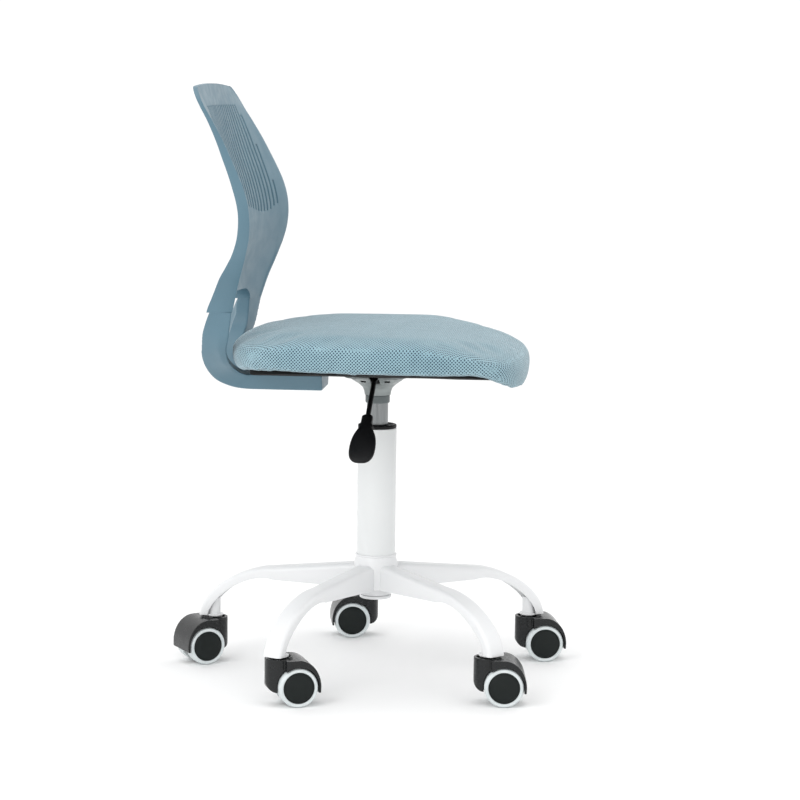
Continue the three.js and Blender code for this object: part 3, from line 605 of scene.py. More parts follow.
def add_casters():
    hood, stem, flange, core, tread = (
        hood_mesh(), stem_mesh(), flange_mesh(), core_mesh(), tread_mesh(),
    )
    for number, (leg, trail) in enumerate(CASTERS, 1):
        x = STEM_CIRCLE * math.cos(math.radians(leg))
        y = STEM_CIRCLE * math.sin(math.radians(leg))
        at = shifted(x, y, 0) @ rotated(trail)
        place(f"hood_{number}", hood, BLACK_GLOSS, f"caster_{number}",
              [f"caster_hood_{number}"], at, 60)
        place(f"stem_{number}", stem, STEEL, "base", [f"caster_stem_{number}"], at)
        place(f"stem_flange_{number}", flange, WHITE_PAINT, "base", at=at)
        axle = shifted(TRAIL, 0, WHEEL_RADIUS)
        for side, degrees in (("left", -90), ("right", 90)):
            wheel = at @ axle @ rotated(degrees, "X")
            body = f"wheel_{number}_{side}"
            place(f"core_{number}_{side}", core, WHEEL_BLACK, body,
                  [f"wheel_core_{number}_{side}"], wheel)
            place(f"tread_{number}_{side}", tread, TREAD, body,
                  [f"wheel_tread_{number}_{side}"], wheel)
        paint_node(f"caster_axle_{number}", STEEL)


# ---- star base


def bezier(points, t):
    a, b, c, d = (Vector(p) for p in points)
    return a * (1 - t) ** 3 + b * 3 * t * (1 - t) ** 2 + c * 3 * t * t * (1 - t) + d * t ** 3


def leg_edge(edge, t):
    """Point of an edge: straight for the first half, then the curve to the open end."""
    if t <= 0.5:
        return Vector(edge[0]).lerp(Vector(edge[1]), t / 0.5)
    return bezier(edge[1:], (t - 0.5) / 0.5)


def channel_section(depth):
    """Closed outline of the pressed channel: outer skin, then inner skin."""
    half = LEG_WIDTH / 2
    corner = min(7.5, depth * 0.42)
    outer = arc(half - corner, depth - corner, corner, corner, 0, 90, 8)
    outer += arc(-half + corner, depth - corner, corner, corner, 90, 180, 8)
    inside = corner - LEG_WALL
    inner = arc(-half + corner, depth - corner, inside, inside, 180, 90, 8)
    inner += arc(half - corner, depth - corner, inside, inside, 90, 0, 8)
    lip = half - LEG_WALL
    return [(half, 0)] + outer + [(-half, 0), (-lip, 0)] + inner + [(lip, 0)]


def leg_mesh():
    loops = []
    for step in range(61):
        lower = leg_edge(LEG_LOWER, step / 60)
        rise = leg_edge(LEG_UPPER, step / 60) - lower
        depth = rise.length
        rise.normalize()
        loops.append([
            (lower.x + rise.x * up, across, lower.y + rise.y * up)
            for across, up in channel_section(depth)
        ])
    return bevelled(loft("leg", loops), 0.5)


def socket_mesh():
    """Tube pressed into the leg end that takes the caster stem."""
    return ring("leg_socket", [(5.9, LEG_END), (8.5, LEG_END), (8.5, 86), (5.9, 86)], 0.9, 48)


def weld_bead(radius, height, thick, seed, around=120, section=10):
    """A slightly uneven bead round the column."""
    points = []
    for i in range(around):
        angle = 2 * math.pi * i / around
        c, s = math.cos(angle), math.sin(angle)
        size = thick * (1 + 0.18 * noise.noise(Vector((c * 6, s * 6, seed))))
        for k in range(section):
            turn = 2 * math.pi * k / section
            r = radius + size * math.cos(turn)
            points.append((r * c, r * s, height + size * math.sin(turn)))
    return make_mesh("weld", points, ring_faces(around, section, closed=True))


def add_base():
    hub = ring("hub", [
        (12, 104), (20, 104), (20, 112), (29, 113.5), (29, 146), (27.4, 152), (26, 157.6),
        (25.6, 158), (25.6, 115), (12, 115),
    ], 1.6, 96)
    place("hub", hub, WHITE_PAINT, "base", ["base_hub"])
    disc_profile = [(0, 99.7), (20, 99.7), (21, 100.7), (21, 103.7), (0, 103.7)]
    disc = lathe("hub_disc", rounded(disc_profile, 0.8), 72)
    place("hub_disc", disc, WHITE_PAINT, "base", ["base_hub_cap"])
    place("weld_top", weld_bead(26, 157.6, 1.5, 1.0), WHITE_PAINT, "base")
    leg, socket = leg_mesh(), socket_mesh()
    for number, (angle, _) in enumerate(CASTERS, 1):
        turn = rotated(angle)
        place(f"leg_{number}", leg, WHITE_PAINT, "base", [f"base_leg_{number}"], turn)
        at = turn @ shifted(STEM_CIRCLE, 0, 0)
        place(f"leg_socket_{number}", socket, WHITE_PAINT, "base", at=at)


# ---- gas lift


def add_gas_lift():
    column = ring("column", [
        (22.6, COLUMN_BOTTOM), (COLUMN_RADIUS, COLUMN_BOTTOM), (COLUMN_RADIUS, COLUMN_TOP - 0.6),
        (24.8, COLUMN_TOP), (22.6, COLUMN_TOP),
    ], 0.8, 96)
    place("column", column, WHITE_COLUMN, "base", ["column_tube"])
    cap = ring("column_cap", [
        (14.5, 300), (22.3, 300), (22.3, COLUMN_TOP + 0.2), (25.3, COLUMN_TOP + 0.2),
        (25.3, COLUMN_CAP_TOP - 0.8), (24.3, COLUMN_CAP_TOP), (21.5, COLUMN_CAP_TOP),
        (19.5, COLUMN_CAP_TOP - 1.4), (16.5, COLUMN_CAP_TOP - 1.4), (15.8, COLUMN_CAP_TOP + 0.4),
        (14.5, COLUMN_CAP_TOP + 0.4),
    ], 0.6, 96)
    place("column_cap_ring", cap, BLACK_MATTE, "base", ["column_cap"])
    cylinder = ring("cylinder", [
        (6, CYLINDER_BOTTOM), (CYLINDER_RADIUS, CYLINDER_BOTTOM), (CYLINDER_RADIUS, CYLINDER_TOP - 2),
        (CYLINDER_RADIUS - 2, CYLINDER_TOP), (6, CYLINDER_TOP),
    ], 0.6, 96)
    place("cylinder", cylinder, STEEL, "seat", ["gas_cylinder"])
    collar = ring("collar", [(14.2, 359), (15.4, 359), (16, 360.2), (16, 368.6), (15.4, 369.2),
                             (14.2, 369.2)], 0.5, 96)
    place("collar", collar, COLLAR_GREY, "seat", ["cylinder_collar"])
    for node in ("thrust_bearing", "piston_rod", "retaining_clip", "release_button"):
        paint_node(node, STEEL)


# ---- seat plate and lever


def plate_rings(rows, count=96, steps=5):
    """Loops between (half x, half y, power, height) rows, eased from row to row."""
    loops = []
    for first, second in zip(rows, rows[1:]):
        for step in range(steps):
            t = step / steps
            x, y, power, z = (a + (b - a) * t for a, b in zip(first, second))
            loops.append([(px, py, z) for px, py in superloop(x, y, power, count)])
    x, y, power, z = rows[-1]
    loops.append([(px, py, z) for px, py in superloop(x, y, power, count)])
    return loops


def seat_plate_mesh():
    outer = loft("plate", plate_rings([
        (17, 17, 2, PLATE_BOTTOM), (17.6, 17.6, 2, 374), (19.5, 19.5, 2, 379), (25, 25, 2, 384),
        (36, 32, 2.4, 389), (46, 37.5, 2.6, 393.5), (53, 40.5, 2.8, PLATE_TOP - 1),
    ]))
    flange = loft("flange", plate_rings([
        (58, 43, 3, PLATE_TOP - 2.4), (58, 43, 3, PLATE_TOP),
    ]))
    hollow = loft("hollow", plate_rings([
        (14.3, 14.3, 2, PLATE_BOTTOM - 1), (14.3, 14.3, 2, 383), (22, 22, 2, 386),
        (34, 30, 2.4, 391), (50, 38, 2.8, PLATE_TOP + 1),
    ]))
    lever_slot = box("lever_slot", -64, LEVER_BEND_X + 24, -6, 6, 380, PLATE_TOP + 2)
    slots = [box("slot", -56, 56, side * 15.5 - 3.6, side * 15.5 + 3.6, 388.6, 391.4)
             for side in (-1, 1)]
    plate = combine(combine(outer, flange, operation="UNION"), hollow, lever_slot, *slots)
    return bevelled(plate, 0.45, angle=35)


def screw_mesh(radius, height):
    """Pan-head screw seen from below, with a hexagon recess."""
    head = lathe("screw", rounded([
        (0, 0), (radius * 0.62, 0), (radius, height * 0.55), (radius, height), (0, height),
    ], 0.9), 40)
    hexagon = arc(0, 0, radius * 0.4, radius * 0.4, 0, 300, 5)
    socket = loft("socket", [[(x, y, z) for x, y in hexagon] for z in (-1, height * 0.6)])
    return combine(head, socket)


def washer_mesh(inner, outer, thickness):
    return ring("washer", [(inner, 0), (outer, 0), (outer, thickness), (inner, thickness)], 0.4, 40)


def lever_point(x):
    """Centre line of the lever rod, with its bend rounded."""
    straight = LEVER_HEIGHT - max(0.0, LEVER_BEND_X - x) * LEVER_SLOPE
    near = max(0.0, 1 - abs(x - LEVER_BEND_X) / 9)
    return straight - 1.1 * near * near


def lever_rod_mesh():
    xs = [7, 4, -10, -25] + list(np.linspace(-34, -58, 17)) + [-70, -90, -110, -131]
    loops = []
    for x in xs:
        slope = lever_point(x + 0.5) - lever_point(x - 0.5)
        along = Vector((1, 0, slope)).normalized()
        up = Vector((-along.z, 0, along.x))
        centre = Vector((x, 0, lever_point(x)))
        loop = []
        for i in range(28):
            angle = 2 * math.pi * i / 28
            offset = up * math.cos(angle) + Vector((0, 1, 0)) * math.sin(angle)
            loop.append(tuple(centre + offset * 3.2))
        loops.append(loop)
    return loft("lever_rod", loops)


def lever_paddle_mesh():
    half_width = curve_through([
        (0, 7.2), (20, 7.6), (27, 8.6), (34, 11), (41, 13.2), (50, 15), (62, 16.1), (76, 16.2),
        (86, 15.3), (93, 13.4), (98.5, 10.2), (101.5, 6.4), (103, 0.6),
    ])
    half_height = curve_through([
        (0, 5.8), (20, 6.3), (40, 5.4), (60, 4.4), (85, 4.0), (97, 3.0), (101, 1.9), (103, 0.5),
    ])
    loops = []
    stations = [0, 0.6, 2] + list(np.linspace(4, 92, 40)) + [94, 96, 98, 99.5, 101, 102, 102.6, 103]
    for x in stations:
        ease = 0.86 + 0.14 * min(x / 2, 1.0)
        ear = 1.6 * smoothstep(x, 20.6, 21.6) * (1 - smoothstep(x, 24.6, 26))
        wide = half_width(x) * ease + ear
        loops.append([(x, y, z) for y, z in superloop(wide, half_height(x) * ease, 3.0, 48)])
    mesh = combine(loft("paddle", loops), box("groove", 8, 17, -20, 20, 5.6, 9))
    slope = Matrix.Rotation(math.pi - math.atan(LEVER_SLOPE), 4, "Y")
    start = (PADDLE_START_X, 0, lever_point(PADDLE_START_X))
    return moved(mesh, Matrix.Translation(start) @ slope)


def add_plate_and_lever():
    place("plate", seat_plate_mesh(), ZINC, "seat", ["seat_plate"], angle=30)
    screw = screw_mesh(4.6, 3.4)
    for x in (-40, 40):
        for y in (-27, 27):
            at = shifted(x, y, PLATE_SCREW_HEIGHT)
            place(f"plate_screw_{'l' if x < 0 else 'r'}{'f' if y < 0 else 'b'}", screw, DARK_STEEL,
                  "seat", at=at)
    place("rod", lever_rod_mesh(), BLACK_MATTE, "lever", ["lever_rod"])
    paddle = bevelled(lever_paddle_mesh(), 0.7, segments=3, angle=50)
    place("paddle", paddle, BLACK_MATTE, "lever", ["lever_paddle"])


# ---- seat

SEAT_MIDDLE_Y = (SEAT_FRONT + SEAT_REAR) / 2
SEAT_HALF_DEPTH = (SEAT_REAR - SEAT_FRONT) / 2


def seat_plan(angle, scale):
    along = scale * squared_off(math.sin(angle), 3)
    across = scale * squared_off(math.cos(angle), 3)
    x = SEAT_HALF_WIDTH * across * (1 - SEAT_TAPER * along)
    return x, SEAT_MIDDLE_Y + SEAT_HALF_DEPTH * along


def even_angles(count):
    """Angles that space points evenly round the seat's outline."""
    fine = np.linspace(0, 2 * math.pi, 1441)
    points = np.array([seat_plan(a, 1.0) for a in fine])
    length = np.concatenate([[0], np.cumsum(np.linalg.norm(np.diff(points, axis=0), axis=1))])
    return np.interp(np.linspace(0, length[-1], count, endpoint=False), length, fine)


def pan_underside(x):
    beyond = max(0.0, abs(x) - 52)
    return PAN_UNDERSIDE + 0.15 * beyond * beyond / (beyond + 20)


def rim_height(x, y):
    """Lower edge of the upholstery: level along the sides, dropping into the front lip."""
    front = 28 * smoothstep(-y, 128, 198) ** 1.3
    rear = 6 * smoothstep(y, 110, 175)
    return 415.5 - front - rear


def crown_height(x, y):
    ends = 8 * smoothstep(y, 60, 190) + 19 * smoothstep(-y, 50, 192)
    return SEAT_CROWN - 0.8 - ends - 5 * (x / SEAT_HALF_WIDTH) ** 2


# Side profile of the cushion: share of the plan against share of the height.
CUSHION_PROFILE = [
    (0.915, 0.0), (0.935, -0.012), (0.955, 0.0), (0.975, 0.1), (0.99, 0.25), (1.0, 0.5), (0.996, 0.62),
    (0.985, 0.72), (0.968, 0.8), (0.945, 0.86), (0.91, 0.91), (0.86, 0.95), (0.8, 0.97),
    (0.72, 0.983), (0.6, 0.991), (0.45, 0.996), (0.3, 0.999), (0.15, 1.0),
]


def seat_surface(name, rows, height_at, count=132):
    """A closed dish of rings over the seat's plan; rows hold each ring's scale."""
    angles = even_angles(count)
    points = []
    for row, scale in enumerate(rows):
        for angle in angles:
            x, y = seat_plan(angle, scale)
            points.append((x, y, height_at(x, y, row)))
    faces = ring_faces(len(rows), count)
    low, high = len(points), len(points) + 1
    points.append((0, SEAT_MIDDLE_Y, height_at(0, SEAT_MIDDLE_Y, 0)))
    points.append((0, SEAT_MIDDLE_Y, height_at(0, SEAT_MIDDLE_Y, len(rows) - 1)))
    top = (len(rows) - 1) * count
    for i in range(count):
        j = (i + 1) % count
        faces.append((low, j, i))
        faces.append((high, top + i, top + j))
    return make_mesh(name, points, faces)


def cushion_start_mesh():
    """The cushion's foam before its cover swells, a little inside its final size."""
    floor = [0.3, 0.6, 0.8, 0.895]
    rows = floor + [scale for scale, _ in CUSHION_PROFILE]

    def height_at(x, y, row):
        if row < len(floor):
            return pan_underside(x) + PAN_THICKNESS + 0.6
        rim = rim_height(x, y)
        return rim + (crown_height(x, y) - rim) * CUSHION_PROFILE[row - len(floor)][1]

    return seat_surface("cushion", rows, height_at)


def coordinates(mesh):
    """The mesh's points in metres, one to a row."""
    values = np.empty(len(mesh.vertices) * 3)
    mesh.vertices.foreach_get("co", values)
    return values.reshape(-1, 3)


def with_coordinates(mesh, values):
    mesh.vertices.foreach_set("co", values.ravel())
    mesh.update()
    return mesh


CLOTH_SETTINGS = {
    "use_pressure": True, "uniform_pressure_force": 4, "tension_stiffness": 25,
    "compression_stiffness": 25, "bending_stiffness": 2, "mass": 0.25, "vertex_group_mass": "held",
}


def blown_up(pad, is_held):
    """Where the pad's points go as cloth under a little pressure, when some are held."""
    carrier = linked("pad", pad)
    held = carrier.vertex_groups.new(name="held")
    for i in np.nonzero(is_held)[0]:
        held.add([int(i)], 1.0, "REPLACE")
    cloth = carrier.modifiers.new("cloth", "CLOTH")
    for key, value in CLOTH_SETTINGS.items():
        setattr(cloth.settings, key, value)
    cloth.settings.effector_weights.gravity = 0
    for number in range(1, CLOTH_FRAMES + 1):
        bpy.context.scene.frame_set(number)
    graph = bpy.context.evaluated_depsgraph_get()
    points = coordinates(carrier.evaluated_get(graph).to_mesh())
    bpy.data.objects.remove(carrier)
    bpy.context.scene.frame_set(1)
    return points


def swollen(mesh):
    """Remeshes the pad, blows it up a little as cloth, and blends that with the set shape."""
    pad = with_modifiers(mesh, remesh(PAD_VOXEL))
    start = coordinates(pad)
    normals = np.array([v.normal for v in pad.vertices])
    rims = np.array([rim_height(x / MM, y / MM) * MM for x, y, _ in start])
    free = np.clip((start[:, 2] - rims - 3 * MM) / (14 * MM), 0, 1)
    inset = start - normals * (FABRIC_INSET * MM * free)[:, None]
    move = blown_up(with_coordinates(pad, inset), free < 0.35) - inset
    length = np.linalg.norm(move, axis=1)
    capped = np.minimum(length, FABRIC_CAP * MM) / np.maximum(length, 1e-9)
    share = np.array(CLOTH_SHARE)
    final = (inset + move * capped[:, None]) * share + start * (1 - share)
    return with_coordinates(pad.copy(), final)


def pucker(mesh):
    """Small gathers where the cover turns under at the hem."""
    normals = [vertex.normal.copy() for vertex in mesh.vertices]
    for vertex, normal in zip(mesh.vertices, normals):
        x, y, z = (c / MM for c in vertex.co)
        above = z - rim_height(x, y)
        near_hem = math.exp(-((above - 3) / 7) ** 2)
        across, along = abs(x) / SEAT_HALF_WIDTH, abs(y - SEAT_MIDDLE_Y) / SEAT_HALF_DEPTH
        corner = smoothstep(min(across, along), 0.45, 0.75)
        turn = math.atan2(y - SEAT_MIDDLE_Y, x)
        fold = noise.noise(Vector((turn * 14, 0.3, 0))) + 0.5 * noise.noise(Vector((turn * 37, 2, 0)))
        broad = 0.5 * noise.noise(Vector((x / 60, y / 60, z / 40)))
        depth = near_hem * fold * (0.35 + 0.6 * corner) + 0.35 * broad
        vertex.co = vertex.co + normal * depth * MM
    return mesh


def add_seat():
    start = cushion_start_mesh()
    pad = swollen(start)
    pad = with_modifiers(pad, smooth(3), ("SUBSURF", {"levels": 1, "render_levels": 1}))
    cushion = place("cushion", pucker(pad), FABRIC, "seat", ["seat_cushion"], angle=75)
    scales = [0.3, 0.6, 0.8, 0.85, 0.872, 0.877, 0.877, 0.872, 0.85, 0.6, 0.3]

    def height_at(x, y, row):
        low = pan_underside(x)
        lift = (0, 0, 0, 0, 0.4, 2, 6, 7.6, 8, 8, 8)[row]
        return low + lift + 0.15 * noise.noise(Vector((x / 18, y / 18, 0.0)))

    place("pan", seat_surface("pan", scales, height_at), BOARD, "seat", ["seat_pan"])


# ---- back

half_width_at = curve_through([
    (476, 128), (495, 134), (515, 146), (530, 157), (545, 166.5), (560, 174.5), (580, 180.5),
    (610, 183.5), (650, 180), (700, 168.5), (FLANKS_TOP, 160),
])
edge_front_at = curve_through([
    (476, 175.5), (490, 171.5), (514, 164.8), (530, 159.2), (545, 154.2), (560, 149.4), (580, 144.8),
    (600, 143.4), (620, 145.2), (640, 150.6), (660, 159.1), (680, 168.7), (700, 178.8), (720, 190.3),
    (740, 201.8), (755, 209.5), (775, 219),
])
middle_front_at = curve_through([
    (476, 190), (500, 191), (521, 191), (539, 186.5), (568, 177.5), (594, 174.5), (613, 175.5),
    (647, 184), (692, 198.5), (742, 212), (775, 220.5),
])
flange_depth_at = curve_through([
    (476, 32), (490, 32), (503, 29.5), (515, 27.2), (530, 25), (545, 20.5), (560, 16.8), (580, 14.6),
    (600, 13.4), (640, 13.3), (660, 11.8), (680, 10.4), (700, 8.5), (720, 6.5), (740, 5.4), (775, 5.4),
])


def shell_half_width(z):
    corner = min(max((z - (SHELL_TOP - SHELL_CORNER)) / SHELL_CORNER, 0.0), 1.0)
    return half_width_at(min(z, FLANKS_TOP)) - SHELL_CORNER * (1 - math.sqrt(1 - corner * corner))


def shell_front(x, z):
    edge = edge_front_at(z)
    share = min(abs(x) / half_width_at(min(z, FLANKS_TOP)), 1.0)
    return edge + (middle_front_at(z) - edge) * (1 - share ** 2)


def shell_rear(x, z):
    """Back of the sheet; beside the opening it deepens into the struts."""
    sheet = shell_front(x, z) + SHELL_SHEET
    flange = edge_front_at(z) + flange_depth_at(z)
    wedge = (1 - smoothstep(z, 490, 540)) * smoothstep(abs(x), 58, 80)
    return sheet + max(flange - sheet, 0.0) * wedge


def shell_columns():
    """Places across the slotted sheet: both edges and the middle of every slot, and the ribs."""
    columns = [-SLOTS_EACH_SIDE * SLOT_PITCH - SLOT_PITCH / 2]
    for i in range(-SLOTS_EACH_SIDE, SLOTS_EACH_SIDE + 1):
        centre = i * SLOT_PITCH
        columns += [centre - SLOT_WIDTH / 2, centre, centre + SLOT_WIDTH / 2, centre + SLOT_PITCH / 2]
    return columns


def shell_rows():
    rows = list(np.linspace(BACK_SPLIT - 4, SHELL_TOP - SHELL_CORNER, 84))
    rows += [SHELL_TOP - SHELL_CORNER + SHELL_CORNER * math.sin(math.radians(90 * i / 22))
             for i in range(1, 23)]
    return rows


def shell_row(columns, z):
    """(x, front, rear) across one height: the flanged rim on both sides of the sheet."""
    half = shell_half_width(z)
    reach = columns[-1]
    limit = min(reach, half - 7)
    sheet = []
    for u in columns:
        x = u
        if abs(u) > 100:
            x = math.copysign(100 + (abs(u) - 100) * (limit - 100) / (reach - 100), u)
        sheet.append((x, shell_front(x, z), shell_rear(x, z)))
    edge = edge_front_at(z)
    depth = flange_depth_at(z)
    lip = edge + depth
    flare = depth * (0.06 + 0.19 * smoothstep(z, 500, 560))
    rim = [
        (half - 5.2, shell_front(half, z) + 0.6, min(shell_rear(half - 5.2, z), lip)),
        (half - 3.4, shell_front(half, z) + 0.2, lip),
        (half - 0.6, edge, lip),
        (half, edge + 0.8, lip),
        (half + flare * 0.5, edge + depth * 0.5, lip),
        (half + flare, lip - min(2, depth * 0.4), lip),
    ]
    return [(-x, front, rear) for x, front, rear in reversed(rim)] + sheet + rim


def slot_ends(x):
    bottom = 610 - 9 * smoothstep(abs(x), 20, 90) + 8 * smoothstep(abs(x), 115, 150)
    return bottom, 744 - 110 * max(0.0, (abs(x) - 118) / 34) ** 1.3


def cut_slots(rows, columns, rim):
    """Cells to keep and corner heights of the grid, with each slot's ends rounded."""
    width = len(columns) + 2 * rim
    heights = np.array([[z] * width for z in rows])
    kept = np.ones((len(rows) - 1, width - 1), bool)
    for i in range(-SLOTS_EACH_SIDE, SLOTS_EACH_SIDE + 1):
        middle = rim + 2 + (i + SLOTS_EACH_SIDE) * 4
        low, high = slot_ends(i * SLOT_PITCH)
        first = int(np.argmin(np.abs(np.array(rows) - low)))
        last = int(np.argmin(np.abs(np.array(rows) - high)))
        kept[first:last, middle - 1:middle + 1] = False
        heights[first, middle - 1:middle + 2] = (low + 1.2, low, low + 1.2)
        heights[last, middle - 1:middle + 2] = (high - 1.2, high, high - 1.2)
    return kept, heights


def shell_skins(grid, rows, heights):
    """Points of the front and of the rear skin, lowered at the sides of the crowned top."""
    front, rear = [], []
    for r, row in enumerate(grid):
        crown = min(max((rows[r] - CROWN_START) / (SHELL_TOP - CROWN_START), 0.0), 1.0)
        half = shell_half_width(rows[r])
        for c, (x, near, far) in enumerate(row):
            z = heights[r, c] - TOP_CROWN * crown * min(abs(x) / half, 1.0) ** 2
            front.append((x, near, z))
            rear.append((x, far, z))
    return front, rear


def skin_faces(kept, offset):
    """Faces of both skins, and a wall along every edge that only one kept cell has."""
    faces, edges = [], {}
    width = kept.shape[1] + 1
    for r, c in np.argwhere(kept).tolist():
        a, b = r * width + c, (r + 1) * width + c
        quad = (a, a + 1, b + 1, b)
        faces.append(quad)
        faces.append(tuple(v + offset for v in reversed(quad)))
        for one, two in zip(quad, quad[1:] + quad[:1]):
            if (two, one) in edges:
                del edges[(two, one)]
            else:
                edges[(one, two)] = True
    for one, two in edges:
        faces.append((two, one, one + offset, two + offset))
    return faces


def shell_mesh():
    """Front and rear skins over one grid, with the slots left out and walled."""
    columns, rows = shell_columns(), shell_rows()
    grid = [shell_row(columns, z) for z in rows]
    rim = (len(grid[0]) - len(columns)) // 2
    kept, heights = cut_slots(rows, columns, rim)
    front, rear = shell_skins(grid, rows, heights)
    mesh = make_mesh("shell", front + rear, skin_faces(kept, len(front)))
    opening = [(-STRUT_INNER, BACK_SPLIT - 12), (STRUT_INNER, BACK_SPLIT - 12)]
    for side, start in ((1, 0), (-1, 90)):
        centre = side * (STRUT_INNER - WINDOW_CORNER_X)
        opening += arc(centre, WINDOW_TOP - WINDOW_CORNER_Z, WINDOW_CORNER_X, WINDOW_CORNER_Z,
                       start, start + 90, 10)
    mesh = combine(mesh, slab("window", opening, 120, 270))
    mesh = bevelled(mesh, 0.9, segments=3, angle=50)
    return combine(mesh, box("below", -200, 200, 100, 300, 440, BACK_SPLIT))


# Stations down the struts, round the bend and forward under the seat: outer line y and z,
# inner line y and z, half width, how far the sides lean forward, and the rear face's share of it.
ARM_STATIONS = [
    (200.5, 490, 184.5, 490, 133.2, 13, 1.0),
    (202.6, 484.2, 185.5, 484.2, 131.8, 12.5, 1.0),
    (209, 470, 187, 470, 127.4, 11.5, 0.97),
    (216.3, 450, 188.5, 450, 120, 9.5, 0.9),
    (219.8, 430, 191.5, 432, 106, 8, 0.85),
    (218, 409, 188, 415, 84, 5, 0.82),
    (208, 391, 181, 403.5, 62, 3, 0.8),
    (191.5, 381.3, 169, 397.3, 50, 1, 0.8),
    (172, 377, 158, 397.4, 44, 0, 0.8),
    (140, 376.3, 140, 397.4, 42, 0, 0.8),
    (69, 376.3, 69, 397.4, 42, 0, 0.8),
]


def arm_section(station):
    """Loop of one station: front face first, then the bevelled rear."""
    outer_y, outer_z, inner_y, inner_z, half, lean, corner = station
    flat = []
    for i in range(25):
        share = -1 + i / 12
        flat.append((share * half, -lean * max(0.0, abs(share) - 0.6) / 0.4))
    side = [(0.995, 2), (0.6 * 0.995 + 0.4 * corner, 12), (0.2 * 0.995 + 0.8 * corner, 22), (corner, 27)]
    flat += [(half * share, d) for share, d in side]
    flat += [(half * share, ARM_THICKNESS) for share in (0.75, 0.4, 0.2, 0, -0.2, -0.4, -0.75)]
    flat += [(-half * share, d) for share, d in reversed(side)]
    points = []
    for x, d in flat:
        behind = max(d, 0) / ARM_THICKNESS
        y = inner_y + (outer_y - inner_y) * behind + min(d, 0)
        points.append((x, y, inner_z + (outer_z - inner_z) * d / ARM_THICKNESS))
    return points


hole_half_at = curve_through([
    (398, 0), (399.2, 12), (402.5, 22), (409, 34), (419, 51), (430, 66), (440, 77), (450, 84),
    (460, 87), (470, STRUT_INNER), (500, STRUT_INNER),
])


def fork_opening():
    """Outline of the opening between the struts, pointed at the foot of the fork."""
    heights = [398, 398.3, 399.2, 400.5] + list(np.linspace(402.5, 500, 40))
    opening = [(hole_half_at(z), z) for z in heights]
    return opening + [(-hole_half_at(z), z) for z in reversed(heights[1:])]


def ease_struts(arm):
    """Slopes the rear of each strut forward towards the opening."""
    rear_at = curve_through([(station[1], station[0]) for station in reversed(ARM_STATIONS[:7])])
    for vertex in arm.vertices:
        x, y, z = (c / MM for c in vertex.co)
        if z > 400:
            from_opening = 1 - smoothstep(abs(x) - hole_half_at(z), 3, 26)
            from_rear = smoothstep(y, rear_at(z) - 16, rear_at(z))
            middle = smoothstep(z, 405, 435) * (1 - smoothstep(z, 460, 482))
            depth = (4 + 6 * middle) * smoothstep(z, 402, 416)
            vertex.co.y -= depth * MM * from_opening * from_rear


def arm_mesh():
    curves = [curve_through(list(enumerate(values))) for values in zip(*ARM_STATIONS)]
    last = len(ARM_STATIONS) - 1
    stations = [[curve(t) for curve in curves] for t in np.linspace(0, last, 61)]
    solid = loft("arm", [arm_section(station) for station in stations])
    arm = combine(solid, slab("hole", fork_opening(), 150, 260))
    pockets = []
    for x, y in ARM_SCREWS:
        pocket = rod("pocket", 6.6, 370, ARM_POCKET_TOP, 40)
        pockets.append(moved(pocket, Matrix.Translation((x, y, 0))))
    arm = moulded(combine(arm, *pockets), voxel=1.25, passes=4)
    ease_struts(arm)
    return combine(arm, box("above", -200, 200, 100, 300, BACK_SPLIT - 0.05, 520))


def add_back():
    place("shell", shell_mesh(), PLASTIC, "seat", ["back_shell"], angle=38)
    place("arm", arm_mesh(), PLASTIC, "seat", ["back_arm"], angle=60)
    screw, washer = screw_mesh(5.2, 3.6), washer_mesh(3, 6.2, 1)
    for number, (x, y) in enumerate(ARM_SCREWS, 1):
        head = shifted(x, y, ARM_SCREW_HEIGHT)
        under = shifted(x, y, ARM_WASHER_HEIGHT)
        place(f"arm_screw_{number}", screw, DARK_STEEL, "seat", at=head)
        place(f"arm_washer_{number}", washer, DARK_STEEL, "seat", at=under)


# ---- light and camera


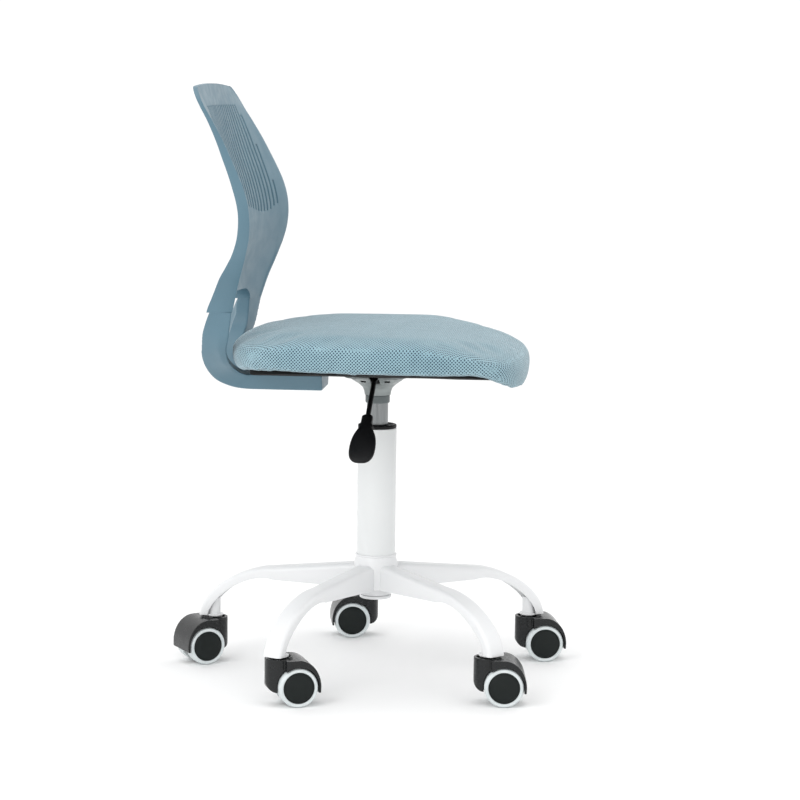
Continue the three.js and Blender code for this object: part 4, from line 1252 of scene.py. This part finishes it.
def add_floor():
    surface = Surface("floor", Specular_IOR_Level=0.2)
    tone = surface.mix(surface.noise(2, 2), (0.94, 0.94, 0.94, 1.0), (0.96, 0.96, 0.96, 1.0))
    material = surface.finish(tone, 0.8)
    mesh = bpy.data.meshes.new("floor")
    corners = [(-1, -1), (1, -1), (1, 1), (-1, 1)]
    points = [(x * FLOOR_REACH, y * FLOOR_REACH, 0) for x, y in corners]
    mesh.from_pydata(points, [], [(0, 1, 2, 3)])
    mesh.materials.append(material)
    floor = linked("floor", mesh)


def add_light(name, position, power):
    """A square soft box aimed at the middle of the chair."""
    data = bpy.data.lights.new(name, "AREA")
    data.size = LAMP_SIZE
    data.energy = power
    lamp = linked(name, data)
    lamp.location = position
    aim = LAMP_AIM - Vector(position)
    lamp.rotation_euler = aim.to_track_quat("-Z", "Y").to_euler()


def add_world():
    world = bpy.data.worlds.new("studio")
    world.use_nodes = True
    background = world.node_tree.nodes["Background"]
    background.inputs["Color"].default_value = (1.0, 1.0, 1.0, 1.0)
    background.inputs["Strength"].default_value = WORLD_STRENGTH
    bpy.context.scene.world = world
    bpy.context.scene.view_settings.view_transform = "Standard"


def add_camera():
    """Level with the top of the back, a little in front of a pure side view."""
    yaw, pitch, roll = (math.radians(a) for a in (CAMERA_YAW, CAMERA_PITCH, CAMERA_ROLL))
    level = math.cos(pitch)
    forward = Vector((math.cos(yaw) * level, math.sin(yaw) * level, -math.sin(pitch)))
    right = Vector((math.sin(yaw), -math.cos(yaw), 0))
    up = right.cross(forward)
    data = bpy.data.cameras.new("camera")
    data.lens = CAMERA_LENS
    data.clip_end = 400
    camera = linked("camera", data)
    side = right * math.cos(roll) + up * math.sin(roll)
    top = up * math.cos(roll) - right * math.sin(roll)
    rotation = Matrix((side, top, -forward)).transposed()
    camera.matrix_world = Matrix.Translation(CAMERA_PLACE) @ rotation.to_4x4()
    bpy.context.scene.camera = camera


add_base()
add_casters()
add_gas_lift()
add_plate_and_lever()
add_seat()
add_back()
add_floor()
add_light("key", (-2.4, 1.3, 1.9), 22)
add_light("top", (0.0, 0.0, 3.0), 14)
add_world()
add_camera()
